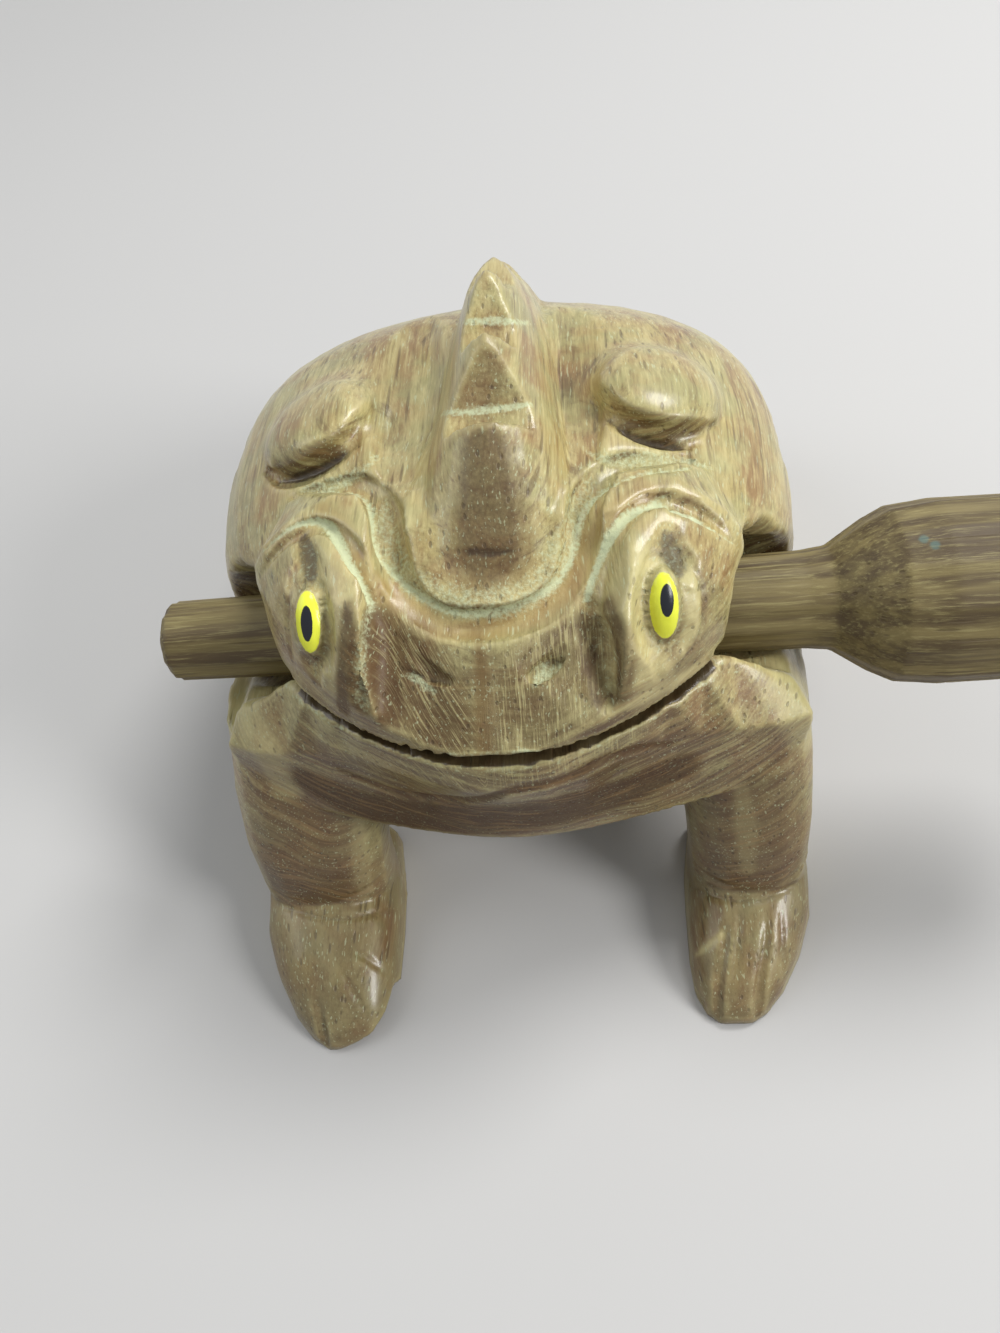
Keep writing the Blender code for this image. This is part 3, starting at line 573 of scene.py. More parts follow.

# painted shade in the nostril cuts
for nostril in NOSTRILS:
    stroke(nostril, (0.4, 0.9, 0.4), 0.5, "V", dark=0.9)
for chip in NOSTRIL_CHIPS:
    stroke(chip, (1.4, 2.0, 0.6), 0.3, "U", torn=0.9, dusty=0.72)
stroke(PLANE_LEFT, (7, 9, 6), 0.45, "U")
stroke(PLANE_RIGHT, (7, 9, 6), 0.45, "U")
# painted shade on the snout planes, more on the left
wash(SCORED_LEFT, (6, 8, 7), scored=1.0, shade=0.9)
wash(PLANE_RIGHT, (7, 10, 8), scored=1.0, shade=0.55)
print("scored points", int((values["scored"] > 0.3).sum()))

# %% [markdown]
# ## Lip, throat and worn bands
#
# A knife line under the lip parts it from the throat, and both get painted shade; the throat
# is also dark with oil. Hands have worn the mounds pale, and they get a painted highlight, the
# right one more. The ledge beside the mouth gets a painted highlight. Hands have worn the band
# between collar and snout to the colour of honey, and the nose edge gets painted shade with
# honey. The edge of the left plane gets painted shade, and it and the foot of the band are
# rubbed round.

# %% Lip, throat and bands
LIP = ((337, 748), (400, 770), (480, 778), (560, 762), (640, 730))
UNDER_LIP = (
    (337, 769), (365, 781), (400, 793), (435, 798), (477, 800), (512, 792), (547, 785), (575, 776),
    (600, 762), (635, 750), (676, 743),
)
THROAT_OIL_AND_SHADE = ((310, 782), (355, 803), (415, 815), (480, 818), (550, 811), (620, 793), (680, 768))
CREASE_BORDER = ((378, 625), (384, 665), (392, 705))
MOUND_RIGHT = ((640, 560), (636, 600), (640, 640), (655, 680))
MOUND_LEFT = ((330, 560), (334, 600), (334, 650), (338, 690))
NOSE_EDGE = ((479, 641), (483, 690), (487, 762))
BAND_FOOT = ((379, 606), (422, 611), (446, 633), (472, 643), (500, 639), (539, 617), (559, 602))
HONEY_BAND = (
    (322, 508), (345, 530), (362, 566), (386, 592), (422, 618), (446, 628), (472, 632), (500, 628),
    (520, 620), (548, 604), (572, 580), (590, 545), (612, 512), (650, 490),
)
LEDGE_HIGHLIGHT = ((604, 711), (640, 700), (675, 682), (703, 664))

wash(LIP, (3, 4, 4.5, 4, 3), scored=0.8, pale=0.12)
# painted shade under the lip
stroke(UNDER_LIP, (1.0, 2.4, 2.6, 2.4, 1.0), 0.5, "V", shade=1.0, dark=0.5)
# painted shade on the throat, which is also oiled dark
wash(THROAT_OIL_AND_SHADE, (5, 7, 8, 7, 5), shade=1.0, dark=0.66)
# painted shade along the edge of the left plane
wash(CREASE_BORDER, (4, 5, 4), shade=1.1)
rub(CREASE_BORDER, 5.0, 10)
# wear and painted highlight on the mounds, the right one more
wash(MOUND_RIGHT, (4, 6, 6, 4), pale=0.7)
wash(MOUND_LEFT, (3, 4, 4, 3), pale=0.5)
# painted shade with honey along the nose edge
wash(NOSE_EDGE, (0.8, 1.4, 1.8), shade=0.7, honey=0.6)
rub(BAND_FOOT, 3.0, 8)
wash(HONEY_BAND, (1.6, 2.2, 2.8, 2.8, 2.6, 2.0), honey=0.6)
# painted highlight on the ledge beside the mouth
wash(LEDGE_HIGHLIGHT, (1.0, 1.8, 1.6, 1.0), pale=0.9)
print("honey points", int((values["honey"] > 0.3).sum()))

# %% [markdown]
# ## Painted eyes
#
# An eye is a yellow almond with a dark pupil, put on with a small brush. It is painted by the
# finish later, which needs each oval as a middle and three directions. They come from the
# places on the wood under the oval's top, bottom and sides. The wood swells a little there,
# with a low groove round the swell.

# %% Eye ovals
OVAL_DEPTH = 3.0
SWELL = 0.45
SWELL_WIDTH = 1.25
SWELL_REACH = 6.0


def oval(top, bottom, left, right):
    """The middle of an oval and the directions in which it is one unit wide."""
    top, bottom, left, right = on_wood((top, bottom, left, right))
    upwards = (top - bottom) / 2
    across = (right - left) / 2
    across -= upwards * (across @ upwards) / (upwards @ upwards)
    through = np.cross(across, upwards)
    through *= 1 / (np.linalg.norm(through) * OVAL_DEPTH)
    return (top + bottom) / 2, across / (across @ across), upwards / (upwards @ upwards), through


IRISES = (
    oval((306.5, 591), (310.5, 653), (296.5, 622), (321.5, 622)),
    oval((662.8, 573), (665.7, 640), (649, 606), (678.5, 606)),
)
PUPILS = (
    oval((305.5, 606), (307, 642), (300.5, 625), (312.5, 625)),
    oval((667.5, 584), (668.5, 618), (661, 601), (675, 601)),
)
for middle, across, upwards, _ in IRISES:
    step = points - middle
    reach = np.hypot(step @ across, step @ upwards)
    close = (reach < SWELL_WIDTH) & (np.linalg.norm(step, axis=1) < SWELL_REACH)
    rise = SWELL * np.clip((1.15 - reach[close]) * 4, -0.3, 1)
    points[close] += facing[close] * rise[:, None]
    size = [round(2 / np.linalg.norm(direction), 1) for direction in (across, upwards)]
    print("iris", size, "mm")

# %% [markdown]
# ## Spine
#
# The flat front of each tooth shows end grain, which drinks oil and goes dark, and the
# fronts of the first two teeth get painted shade on top. The knife line at the first tooth's
# foot is painted dark as shade. The notch floors keep a pale sawn strip.

# %% Spine
TOOTH_FRONT = ((485, 448), (486, 490), (488, 530), (489, 553))
TOOTH_FOOT = ((467, 552), (488, 553), (511, 551))
SECOND_TOOTH = ((478, 395), (487, 365), (491, 335))
NOTCH_STRIPS = (((440, 414), (486, 410), (532, 405)), ((457, 323), (490, 321), (530, 323)))

# dark end grain and painted shade on the tooth fronts, painted shade in the line at the foot
wash(TOOTH_FRONT, (5.6, 7.0, 7.8, 7.4), dark=0.56, shade=0.8)
stroke(TOOTH_FOOT, (0.6, 1.4, 0.6), 0.3, "V", dark=1.0)
wash(SECOND_TOOTH, (5.0, 4.0, 2.0), shade=0.45)
for strip in NOTCH_STRIPS:
    stroke(strip, (1.2, 1.8, 1.2), 0.0, dusty=0.8)
print("dark points", int((values["dark"] > 0.3).sum()))

# %% [markdown]
# ## Humps
#
# Each hump is undercut in front with a gouge, and the undercut is painted dark as shade. The
# hollow below the cut is torn and dusty, and the hump's own front edge was rubbed round with
# sandpaper.

# %% Humps
HUMP_RIMS = (
    ((280, 462), (296, 464), (320, 456), (345, 442), (362, 428)),
    ((606, 402), (622, 415), (646, 424), (668, 429), (694, 434)),
)
UNDERCUTS = (
    ((277, 482), (296, 478), (318, 470), (340, 459), (360, 445)),
    ((606, 418), (625, 433), (646, 441), (668, 446), (692, 450)),
)
HOLLOWS = (
    ((300, 490), (332, 484), (358, 472), (378, 455)),
    ((588, 452), (615, 460), (650, 459), (690, 462), (712, 468)),
)

for rim in HUMP_RIMS:
    rub(rim, 4.5, 30)
# painted shade in the undercuts
for undercut in UNDERCUTS:
    stroke(undercut, (0.6, 1.7, 2.0, 1.6, 0.5), 1.0, "V", dark=0.95)
for hollow in HOLLOWS:
    stroke(hollow, (1.5, 3.2, 3.0, 1.5), 0.2, "U", torn=0.9, dusty=0.6)
print("dusty points", int((values["dusty"] > 0.3).sum()))

# %% [markdown]
# ## Feet, wrists and shoulders
#
# The toes and wrists are single knife lines, pressed in after the foot was rubbed round, and
# the wrist lines are painted dark as shade. The shoulders are worn pale, and a painted
# highlight runs down each front leg.

# %% Feet, wrists and shoulders
FOOT_TOP = ((345, 960), (372, 1000), (390, 1040))
CHEEK_REST = ((762, 648), (790, 665), (815, 690))
FOOT_MARK = ((695, 955), (708, 946), (722, 935))
TOES = (
    ((345, 945), (366, 958), (390, 975)), ((335, 960), (352, 990), (370, 1020)),
    ((740, 902), (738, 945), (735, 990)), ((781, 905), (783, 945), (783, 980)),
)
WRISTS = (
    ((274, 903), (300, 912), (340, 919), (400, 908)),
    ((690, 886), (720, 898), (760, 900), (800, 882)),
)
SHOULDERS = (((238, 695), (256, 735), (285, 785)), ((775, 655), (795, 690), (808, 735)))
LEG_HIGHLIGHTS = (((358, 822), (362, 860), (366, 905)), ((742, 790), (746, 830), (748, 870)))

rub(FOOT_TOP, 13.0, 25)
rub(CHEEK_REST, 12.0, 14)
stroke(FOOT_MARK, (0.5, 1.3, 1.1), 0.15, "V", pale=1.0, dusty=0.3)
for toe in TOES:
    stroke(toe, (0.4, 1.3, 1.2, 0.5), 0.35, "V", dusty=0.4)
# painted shade in the wrist lines
for wrist in WRISTS:
    stroke(wrist, (0.8, 1.2, 1.2, 0.8), 0.3, "V", dark=0.6)
for shoulder in SHOULDERS:
    wash(shoulder, (4.0, 6.0, 4.0), pale=0.6)
# painted highlight down each front leg
for light in LEG_HIGHLIGHTS:
    wash(light, (1.5, 2.6, 1.5), pale=0.3)
print("pale points", int((values["pale"] > 0.3).sum()))

# %% [markdown]
# ## The mouth
#
# The mouth is a saw cut. Its inside is painted dark as shade, and its lips are ragged and
# pale with torn fibres. It lies at one height, which makes it the easiest part to find.

# %% Mouth
MOUTH_HEIGHT = 44.6
KERF_HALF = 0.78
KERF_OPENING = 0.22
LIP_FRINGE = 0.8
KERF_BACK = -22.0
SPLINTER_SIZE = 1.1
KERF_SHADE = 1.4
ragged = lattice(points / SPLINTER_SIZE, 11)
side_of_kerf = np.sign(points[:, 2] - MOUTH_HEIGHT)
above = np.abs(points[:, 2] - MOUTH_HEIGHT)
in_front = points[:, 1] < KERF_BACK
near_kerf = in_front & (above < KERF_HALF + LIP_FRINGE)
fade = np.clip((KERF_HALF + LIP_FRINGE - above) / LIP_FRINGE, 0, 1)
opening = KERF_OPENING + 0.5 * (ragged - 0.5)
points[:, 2] += np.where(near_kerf, side_of_kerf * fade * opening, 0)
# painted shade inside the kerf
values["dark"][in_front & (above < KERF_HALF)] = KERF_SHADE
fringe = near_kerf & (above >= KERF_HALF)
values["dusty"][fringe] = np.maximum(values["dusty"][fringe], 0.9 * ragged[fringe] + 0.05)
print("mouth points", int((in_front & (above < KERF_HALF)).sum()))

# %% [markdown]
# ## Torn fibres and worn edges
#
# Where the wood is torn the surface is furry, which is a fine random height. Everywhere else
# hands have rubbed it, most of all on its edges, so the finish needs to know how sharp the
# wood is at each point. That is how far a point stands out from the mean of its neighbours.

# %% Roughen and store values
FUR_SIZE = 0.9
FUR_HEIGHT = 0.16
WAVE_SIZE = 9.0
WAVE_HEIGHT = 0.12


def standing_out(mesh, places, normals):
    """How far each point stands out from its neighbours."""
    return ((places - mean_of_neighbours(edge_pairs(mesh), places)) * normals).sum(1)


def spread_out(mesh, field, rounds):
    """Blur a value over the skin."""
    pairs = edge_pairs(mesh)
    for _ in range(rounds):
        field = 0.4 * field + 0.6 * mean_of_neighbours(pairs, field)
    return field


def store(mesh, name, field):
    """Keep a value on the mesh for the finish."""
    mesh.attributes.new(name, "FLOAT", "POINT").data.foreach_set("value", field.astype(np.float32))


fur = lattice(points * (1, 0.5, 1) / FUR_SIZE, 3) - 0.5
wave = lattice(points / WAVE_SIZE, 5) - 0.5
points += facing * (values["torn"] * fur * FUR_HEIGHT + wave * WAVE_HEIGHT)[:, None]
low, high = (to_frog(corner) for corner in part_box("frog_body"))
points = np.clip(points, low, high)
frog.data.vertices.foreach_set("co", to_world(points).ravel())
frog.data.update()
points, facing = read_points(frog.data)
edge = spread_out(frog.data, standing_out(frog.data, points, facing), 4)
values["edge"] = np.clip(edge * 30, -1, 1)
for name, field in values.items():
    store(frog.data, name, field if name == "edge" else spread_out(frog.data, field, 1))
print("edges", values["edge"].min().round(2), values["edge"].max().round(2))

# %% [markdown]
# ## Writing materials as arithmetic
#
# A material is a graph of nodes, which is hard to read as a list of links. Here what comes
# out of a node is a wire, and a wire can be added, multiplied and so on like a number.

# %% Wires


def connect(tree, value, socket):
    """Link a wire to a socket, or set the socket's own value."""
    if isinstance(value, Wire):
        tree.links.new(value.socket, socket)
    else:
        socket.default_value = value


class Wire:
    """What comes out of a node, ready for arithmetic."""

    def __init__(self, socket):
        self.socket = socket

    def maths(self, operation, left, right):
        """A Math node with this operation, of which the wire is one side."""
        tree = self.socket.id_data
        node = tree.nodes.new("ShaderNodeMath")
        node.operation = operation
        connect(tree, left, node.inputs[0])
        connect(tree, right, node.inputs[1])
        return Wire(node.outputs[0])

    def __add__(self, other):
        return self.maths("ADD", self, other)

    __radd__ = __add__

    def __sub__(self, other):
        return self.maths("SUBTRACT", self, other)

    def __rsub__(self, other):
        return self.maths("SUBTRACT", other, self)

    def __mul__(self, other):
        return self.maths("MULTIPLY", self, other)

    __rmul__ = __mul__

    def __truediv__(self, other):
        return self.maths("DIVIDE", self, other)

    def __pow__(self, other):
        return self.maths("POWER", self, other)


print("a wire adds, subtracts, multiplies, divides and raises")

# %% [markdown]
# ## One method for every other node
#
# A graph makes a node from its type, its settings and what goes into its sockets, and hands
# back the wire that comes out. A finish is the graph of a material. It also knows where it is
# on the frog, so that a pattern can be laid in the frog's own millimetres.

# %% Graphs and finishes


class Graph:
    """A tree of nodes that is built node by node."""

    def __init__(self, tree):
        self.tree = tree

    def node(self, kind, settings, sockets, output=0):
        """Any node: its settings first, then the values or wires of its sockets."""
        node = self.tree.nodes.new(kind)
        for name, value in settings.items():
            setattr(node, name, value)
        for name, value in sockets.items():
            connect(self.tree, value, node.inputs[name])
        return Wire(node.outputs[output])

    def seen_by_eye(self):
        """1 on a ray from the camera, from a glossy surface or through glass, 0 on all others."""
        rays = self.node("ShaderNodeLightPath", {}, {}).socket.node.outputs
        names = ("Is Camera Ray", "Is Glossy Ray", "Is Transmission Ray")
        return sum(Wire(rays[name]) for name in names)


class Finish(Graph):
    """A material that is built node by node."""

    def __init__(self, name):
        self.material = bpy.data.materials.new(name)
        self.material.use_nodes = True
        super().__init__(self.material.node_tree)
        self.shader = self.tree.nodes["Principled BSDF"]

    def shade(self, **sockets):
        """Set the shader's own sockets."""
        for name, value in sockets.items():
            connect(self.tree, value, self.shader.inputs[name.replace("_", " ")])

    def vector(self, operation, sockets, output=0):
        """Arithmetic on places and directions."""
        return self.node("ShaderNodeVectorMath", {"operation": operation}, sockets, output)

    def here(self):
        """The place on the piece in frog millimetres."""
        place = self.node("ShaderNodeTexCoord", {}, {}, "Object")
        return self.vector("MULTIPLY_ADD", {0: place, 1: (1000.0,) * 3, 2: -origin})

    def stretched(self, place, factors):
        """A place, stretched by a factor on each axis."""
        return self.vector("MULTIPLY", {0: place, 1: factors})

    def split(self, place):
        """The three parts of a place."""
        parts = self.node("ShaderNodeSeparateXYZ", {}, {0: place}).socket.node
        return [Wire(output) for output in parts.outputs]

    def cloud(self, place, scale, detail=3.0, roughness=0.5):
        """Soft random patches from 0 to 1."""
        sockets = {"Vector": place, "Scale": scale, "Detail": detail, "Roughness": roughness}
        return self.node("ShaderNodeTexNoise", {}, sockets)

    def cells(self, place, scale):
        """How far it is to the nearest of many scattered dots."""
        return self.node("ShaderNodeTexVoronoi", {}, {"Vector": place, "Scale": scale}, "Distance")

    def between(self, value, low, high):
        """0 below low, 1 above high and a soft step in between."""
        settings = {"interpolation_type": "SMOOTHSTEP"}
        sockets = {"Value": value, "From Min": low, "From Max": high}
        return self.node("ShaderNodeMapRange", settings, sockets)

    def stored(self, name):
        """A value that the carving kept on the mesh."""
        return self.node("ShaderNodeAttribute", {"attribute_name": name}, {}, "Fac")

    def mix(self, share, first, second):
        """The first colour, with this share of the second."""
        settings = {"data_type": "RGBA"}
        return self.node("ShaderNodeMix", settings, {0: share, 6: first, 7: second}, 2)

    def bump(self, height, distance, strength):
        """A direction that makes the light see this height."""
        sockets = {"Height": height, "Distance": distance, "Strength": strength}
        return self.node("ShaderNodeBump", {}, sockets)


def rgb(red, green, blue):
    """A colour with its alpha."""
    return (red, green, blue, 1.0)


print("finish methods", ", ".join(name for name in vars(Finish) if not name.startswith("_")))

# %% [markdown]
# ## The wood
#
# A tree grows rings round its pith, with pores that run along the trunk. Both are made in
# space, round a line that runs from nose to tail, so the same wood shows rings and dots
# where the frog is cut across and long streaks where it is cut along.

# %% Wood in space
TAN = rgb(0.470, 0.372, 0.150)
LIGHT_TAN = rgb(0.700, 0.620, 0.300)
HONEY = rgb(0.370, 0.235, 0.080)
UMBER = rgb(0.040, 0.020, 0.008)
BROWN = rgb(0.320, 0.200, 0.082)
WALNUT = rgb(0.100, 0.050, 0.019)
MOSS = rgb(0.375, 0.360, 0.160)
DUST = rgb(0.640, 0.710, 0.450)
EYE_YELLOW = rgb(0.93, 0.98, 0.07)
PUPIL_BLACK = rgb(0.008, 0.011, 0.018)
PITH = (4.0, 0.0, 112.0)


def growth(finish, place):
    """Layers, fibres and pores of wood whose trunk runs from nose to tail."""
    trunk = finish.stretched(place, (1.0, 0.05, 1.0))
    drift = finish.cloud(finish.stretched(place, (0.05, 0.02, 0.05)), 1.0, 2.0)
    x, y, z = finish.split(place)
    aside = x - PITH[0]
    below = PITH[2] - z
    reach = (aside * aside + below * below) ** 0.5 + drift * 9.0
    turn = finish.node("ShaderNodeMath", {"operation": "ARCTAN2"}, {0: aside, 1: below})
    layers = finish.node("ShaderNodeCombineXYZ", {}, {0: reach, 1: turn * 5.0, 2: y * 0.05})
    layer = finish.cloud(layers, 1.1, 5.0, 0.65)
    ring = finish.between(finish.cloud(layers, 2.6, 2.0, 0.5), 0.52, 0.66)
    fibre = finish.cloud(trunk, 2.6, 6.0, 0.65)
    streak = finish.cloud(trunk, 0.32, 3.0, 0.55)
    pore = 1 - finish.between(finish.cells(trunk, 0.95), 0.12, 0.24)
    return layer, ring, fibre, streak, pore


def score_lines(finish, place):
    """Fine lines up the planes of the snout, slanting on its left side."""
    x, y, z = finish.split(place)
    slant = 1 - finish.between(x, -2.0, 1.0)
    across = x + (z * 0.55 + y * 0.2) * slant
    lines = finish.node("ShaderNodeCombineXYZ", {}, {0: across * 4.0, 1: y * 0.25, 2: z * 0.25})
    return finish.cloud(lines, 1.0, 3.0, 0.6)


print("pith", PITH)

# %% [markdown]
# ## Paint
#
# The eyes are brushed on: an oval of yellow with a black oval in it. A place is in an oval
# when its three distances from the middle, each measured in half widths, add up to less
# than 1 as squares. A little noise makes the edge wander like a brush.

# %% Ovals
def in_oval(finish, place, shape, drift):
    """1 inside an oval and 0 outside, with a slightly wandering brushed edge."""
    middle, *directions = shape
    step = finish.vector("SUBTRACT", {0: place, 1: middle})
    turned = [finish.vector("DOT_PRODUCT", {0: step, 1: way}, "Value") for way in directions]
    return 1 - finish.between(sum(part * part for part in turned) + drift, 0.93, 1.07)


print("painted ovals", len(IRISES) + len(PUPILS))

# %% [markdown]
# ## The frog's finish
#
# Oil and hands have left the frog satin. Faces cut across the grain are darker, because end
# grain drinks more oil. Torn cuts hold pale dust, edges are rubbed light, and the two sawn
# planes of the snout keep fine score lines. Shade is painted into cuts, hollows, walls and
# low parts, and highlight onto a few places.

# %% Frog finish
def frog_wood():
    """Tan wood in layers: plain wood first, then what the knife, hands and dust left on it, with painted
    shade and highlight.
    """
    finish = Finish("frog_wood")
    place = finish.here()
    layer, ring, fibre, streak, pore = growth(finish, place)
    line = score_lines(finish, place)
    scored = finish.stored("scored")
    torn = finish.stored("torn")
    dark = finish.stored("dark")
    shade = finish.stored("shade")
    dusty = finish.stored("dusty")
    edge = finish.stored("edge")
    normal = finish.split(finish.node("ShaderNodeNewGeometry", {}, {}, "Normal"))
    height_up = finish.split(place)[2]
    calm = 0.35 + finish.between(height_up, 16.0, 34.0) * 0.65
    end_grain = finish.between(normal[1] * normal[1], 0.12, 0.90)
    patch = finish.cloud(place, 0.13, 4.0, 0.6)
    mottle = finish.cloud(finish.stretched(place, (1.0, 0.35, 1.0)), 0.42, 4.0, 0.6)
    fleck = finish.cloud(place, 2.2, 3.0, 0.6)
    splinter = finish.cloud(finish.stretched(place, (1.0, 0.12, 1.0)), 3.4, 2.0, 0.5)
    # the wood as it grew
    color = finish.mix(finish.between(streak, 0.36, 0.62), BROWN, TAN)
    color = finish.mix(finish.between(patch, 0.40, 0.62) * 0.7, color, MOSS)
    color = finish.mix(finish.between(mottle, 0.46, 0.66) * 0.35, color, LIGHT_TAN)
    color = finish.mix(finish.between(layer, 0.46, 0.34) * calm * 0.5, color, WALNUT)
    color = finish.mix(finish.between(layer, 0.54, 0.66) * calm * 0.3, color, LIGHT_TAN)
    color = finish.mix(finish.between(fibre, 0.50, 0.70) * 0.5, color, LIGHT_TAN)
    color = finish.mix(finish.between(fibre, 0.50, 0.28) * 0.5, color, WALNUT)
    # oil in the end grain, painted shade low down, wear and painted highlight, honey, painted shade on
    # walls, throat and snout
    oiled = end_grain * (0.9 - finish.between(layer, 0.42, 0.62) * calm * 0.6)
    color = finish.mix(oiled, color, WALNUT)
    low_shade = (1 - finish.between(height_up, 4.0, 34.0)) * (0.3 + fibre * 0.4)
    color = finish.mix(low_shade, color, WALNUT)
    color = finish.mix(finish.stored("pale") * (0.4 + mottle * 0.6), color, LIGHT_TAN)
    color = finish.mix(finish.stored("honey") * (0.45 + fibre * 0.7), color, HONEY)
    color = finish.mix(shade * (0.55 + mottle * 0.5), color, WALNUT)
    golden = ring * end_grain * (1 - scored) * 0.45
    # pores, score lines, splinters and rubbed edges
    color = finish.mix(pore * 0.45, color, UMBER)
    color = finish.mix(finish.between(line, 0.50, 0.66) * scored * 0.5, color, LIGHT_TAN)
    color = finish.mix(finish.between(splinter, 0.62, 0.70) * 0.45, color, DUST)
    color = finish.mix(finish.between(edge, 0.2, 0.9) * 0.25, color, LIGHT_TAN)
    # dark cuts with painted shade in them, golden rings, dust and the painted eyes
    dark_and_shadow = finish.between(dark + (fleck - 0.5) * 0.5, 0.35, 0.95)
    color = finish.mix(dark_and_shadow * 0.9, color, UMBER)
    color = finish.mix(golden, color, BROWN)
    dust = finish.between(dusty + (fleck - 0.5) * 1.1, 0.35, 0.95)
    color = finish.mix(dust * 0.8, color, DUST)
    wander = (fleck - 0.5) * 0.25
    iris = sum(in_oval(finish, place, shape, wander) for shape in IRISES)
    pupil = sum(in_oval(finish, place, shape, wander) for shape in PUPILS)
    color = finish.mix(iris, color, EYE_YELLOW)
    color = finish.mix(pupil, color, PUPIL_BLACK)
    height = (fibre * 0.5 + pore * -0.6 + fleck * torn * 1.5 + line * scored) * (1 - iris)
    rough = 0.28 + fibre * 0.14 + torn * 0.35 + shade * 0.1
    finish.shade(
        Base_Color=color,
        Specular_IOR_Level=0.4,
        Coat_Weight=0.35 * (1 - finish.between(torn + dusty + shade, 0.2, 0.8)),
        Coat_Roughness=0.2,
        Roughness=rough * (1 - iris) + iris * 0.25,
        Normal=finish.bump(height, 0.00012, 0.8),
    )
    return finish.material


frog.data.materials.append(frog_wood())
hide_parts("frog_body")
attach(frog, "root")
print("frog dressed")

# %% [markdown]
# ## The stick
#
# The stick was whittled from a straight stave. Long shallow knife facets run along it, and
# the shank is thin where it goes through the frog. Its wood is greyer than the frog's, and
# two faint specks of teal paint are left on its head.

# %% Stick
STICK_GRID = 0.0005
FACETS = 11
FACET_DEPTH = 0.22
DRAB = rgb(0.225, 0.175, 0.066)
PALE_DRAB = rgb(0.375, 0.320, 0.135)
DARK_DRAB = rgb(0.085, 0.055, 0.020)
TEAL = rgb(0.10, 0.22, 0.20)
PAINT_SPECKS = ((935, 545), (924, 539))


def whittle(stick):
    """Shallow facets along the stick."""
    places, normals = read_points(stick.data)
    low, high = (to_frog(corner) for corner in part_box("striker_stick"))
    middle = (low + high) / 2
    angle = np.arctan2(places[:, 2] - middle[2], places[:, 1] - middle[1])
    turn = angle + 0.25 * (lattice(places * (0.03, 0, 0) + (0, 4.5, 4.5), 8) - 0.5)
    bow = np.cos(turn * FACETS) * 0.5 + 0.5
    drop = FACET_DEPTH * (1 - bow) + 0.10 * lattice(places * (0.12, 0.4, 0.4), 9)
    sideways = np.linalg.norm(normals[:, 1:], axis=1)
    places = np.clip(places - normals * (drop * sideways)[:, None], low, high)
    stick.data.vertices.foreach_set("co", to_world(places).ravel())
    stick.data.update()


def stick_wood(spots):
    """Drab straight-grained wood with a few specks of old paint."""
    finish = Finish("stick_wood")
    place = finish.here()
    trunk = finish.stretched(place, (0.05, 1.0, 1.0))
    fibre = finish.cloud(trunk, 2.8, 6.0, 0.7)
    streak = finish.cloud(trunk, 0.5, 4.0, 0.6)
    pore = 1 - finish.between(finish.cells(trunk, 1.2), 0.12, 0.26)
    color = finish.mix(finish.between(streak, 0.36, 0.64), DARK_DRAB, DRAB)
    color = finish.mix(finish.between(fibre, 0.48, 0.70) * 0.7, color, PALE_DRAB)
    color = finish.mix(pore * 0.6, color, DARK_DRAB)
    for spot in spots:
        away = finish.vector("DISTANCE", {0: place, 1: spot}, "Value")
        speck = (1 - finish.between(away + fibre * 0.6, 0.6, 1.0)) * 0.5
        color = finish.mix(speck, color, TEAL)
    finish.shade(
        Base_Color=color,
        Roughness=0.48 + fibre * 0.14,
        Normal=finish.bump(fibre * 0.6 - pore * 0.6, 0.00012, 0.8),
    )
    return finish.material


stick = fresh_skin("striker_stick", "whittled_stick", STICK_GRID)
whittle(stick)
skin = surface_of(stick.data, read_points(stick.data)[0])
rays = [(Vector(CAMERA_PLACE), Vector(ray_through(pixel))) for pixel in PAINT_SPECKS]
specks = [skin.ray_cast(*ray)[0] for ray in rays]
stick.data.materials.append(stick_wood([tuple(speck) for speck in specks if speck is not None]))
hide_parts("striker_stick")
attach(stick, "root")
print("stick skin", len(stick.data.vertices), "points")

# %% [markdown]
# ## Floor
#
# The floor is pale. It throws less light up at the frog than it shows, because the real frog
# stood on something dark. Far away it turns into the colour of the backdrop.

# %% Floor
FLOOR_SIZE = 6.0
FLOOR_COLOR = rgb(0.62, 0.61, 0.595)
FLOOR_DEEP = rgb(0.585, 0.575, 0.56)
FLOOR_UNSEEN = rgb(0.20, 0.15, 0.11)
BACKDROP = rgb(0.70, 0.695, 0.68)
BLACK = rgb(0.0, 0.0, 0.0)
FAR_AWAY = (250.0, 1200.0)


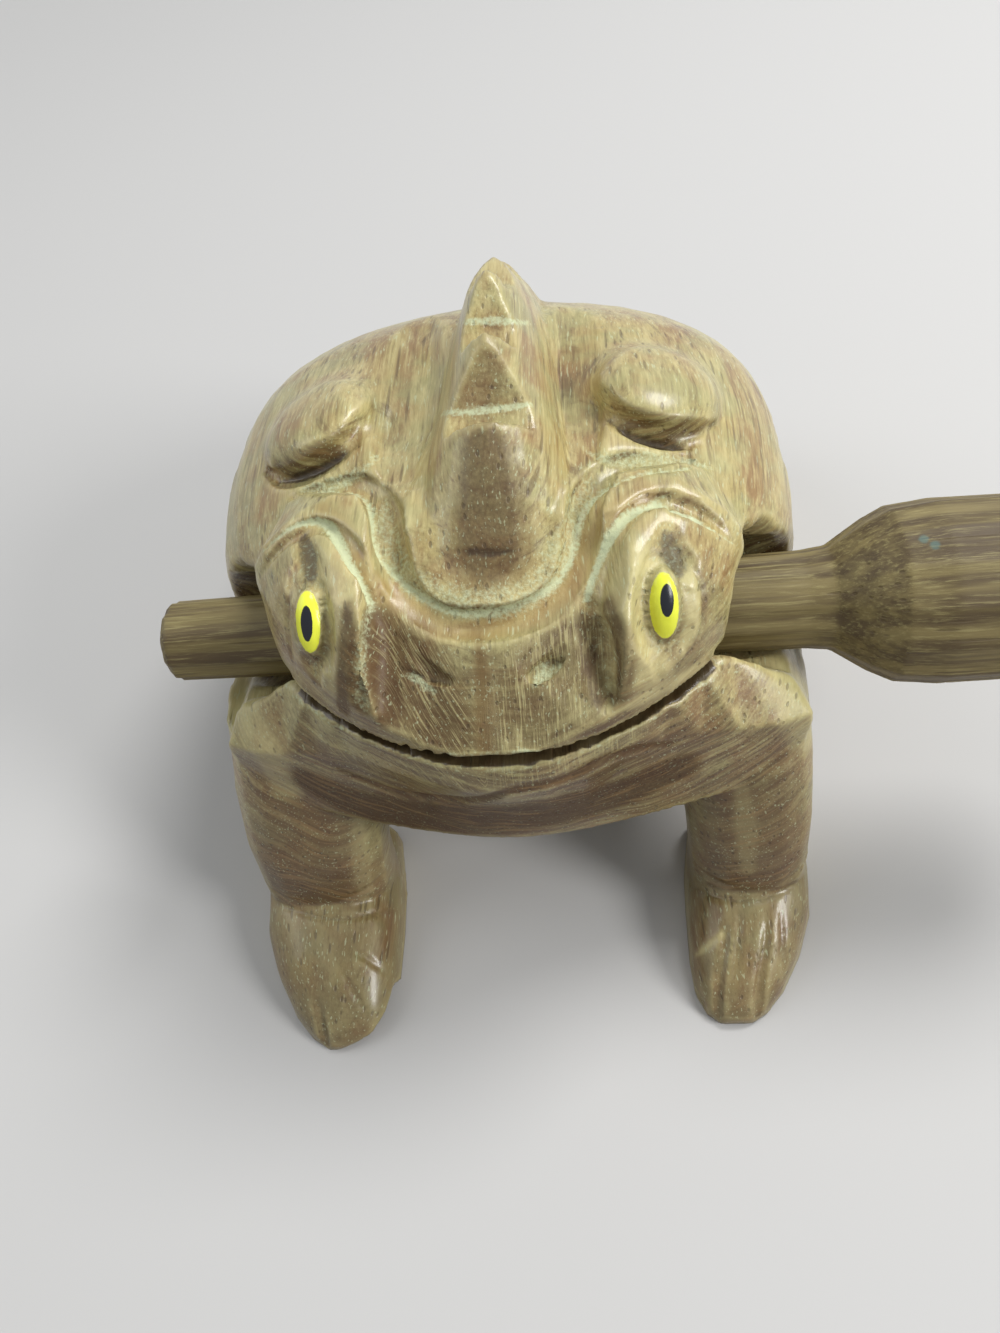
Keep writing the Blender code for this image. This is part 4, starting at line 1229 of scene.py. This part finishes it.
def make_floor():
    """A pale floor, which throws less light up than it shows, and stays as pale far away."""
    finish = Finish("floor_paint")
    place = finish.here()
    grain = finish.cloud(place, 0.004, 2.0)
    color = finish.mix(grain * 0.3, FLOOR_COLOR, FLOOR_DEEP)
    seen = finish.seen_by_eye()
    away = finish.between(finish.vector("LENGTH", {0: place}, "Value"), *FAR_AWAY)
    finish.shade(
        Base_Color=finish.mix(away * seen, finish.mix(seen, FLOOR_UNSEEN, color), BLACK),
        Emission_Color=finish.mix(away * seen, BLACK, BACKDROP),
        Emission_Strength=1.0,
        Roughness=0.9,
    )
    bpy.ops.mesh.primitive_plane_add(size=FLOOR_SIZE)
    floor = bpy.context.object
    floor.name = "floor"
    floor.data.materials.append(finish.material)
    return floor


floor = make_floor()
print("floor", FLOOR_SIZE, "m wide")

# %% [markdown]
# ## Lamps
#
# The light came through a window. A soft lamp stands high behind the frog's left shoulder, a
# smaller one stands at its left front and the weakest, which is the largest, on its right.

# %% Lamps
FROG_MIDDLE = (0, 0, 0.04)


def lamp(name, place, aim, size, power):
    """A round soft lamp that points at a place."""
    data = bpy.data.lights.new(name, "AREA")
    data.shape = "DISK"
    data.size = size
    data.energy = power
    light = bpy.data.objects.new(name, data)
    bpy.context.scene.collection.objects.link(light)
    light.location = place
    light.rotation_euler = (Vector(aim) - Vector(place)).to_track_quat("-Z", "Y").to_euler()
    return light


key = lamp("window", (0.36, 0.34, 0.74), FROG_MIDDLE, 0.36, 4.7)
side = lamp("side window", (0.60, -0.28, 0.42), FROG_MIDDLE, 0.26, 3.3)
fill = lamp("fill", (-0.66, 0.05, 0.62), (0, 0, 0.03), 0.6, 1.6)
print("lamps", [light.data.energy for light in (key, side, fill)], "W")

# %% [markdown]
# ## Room
#
# An even sky fills the shadows. The eye doesn't see it: it sees the pale backdrop, which
# throws no light on the frog.

# %% Room
SKY = rgb(0.90, 0.95, 1.0)
SKY_LIGHT = 0.32


def make_room():
    """An even sky that lights the frog, behind which the eye sees the pale backdrop."""
    world = bpy.data.worlds.new("room")
    bpy.context.scene.world = world
    world.use_nodes = True
    room = Graph(world.node_tree)
    room.tree.nodes.remove(room.tree.nodes["Background"])
    sky = room.node("ShaderNodeBackground", {}, {"Color": SKY, "Strength": SKY_LIGHT})
    backdrop = room.node("ShaderNodeBackground", {}, {"Color": BACKDROP})
    both = room.node("ShaderNodeMixShader", {}, {0: room.seen_by_eye(), 1: sky, 2: backdrop})
    connect(room.tree, both, room.tree.nodes["World Output"].inputs["Surface"])


make_room()
bpy.context.scene.view_settings.view_transform = "Standard"
print("sky", SKY_LIGHT)
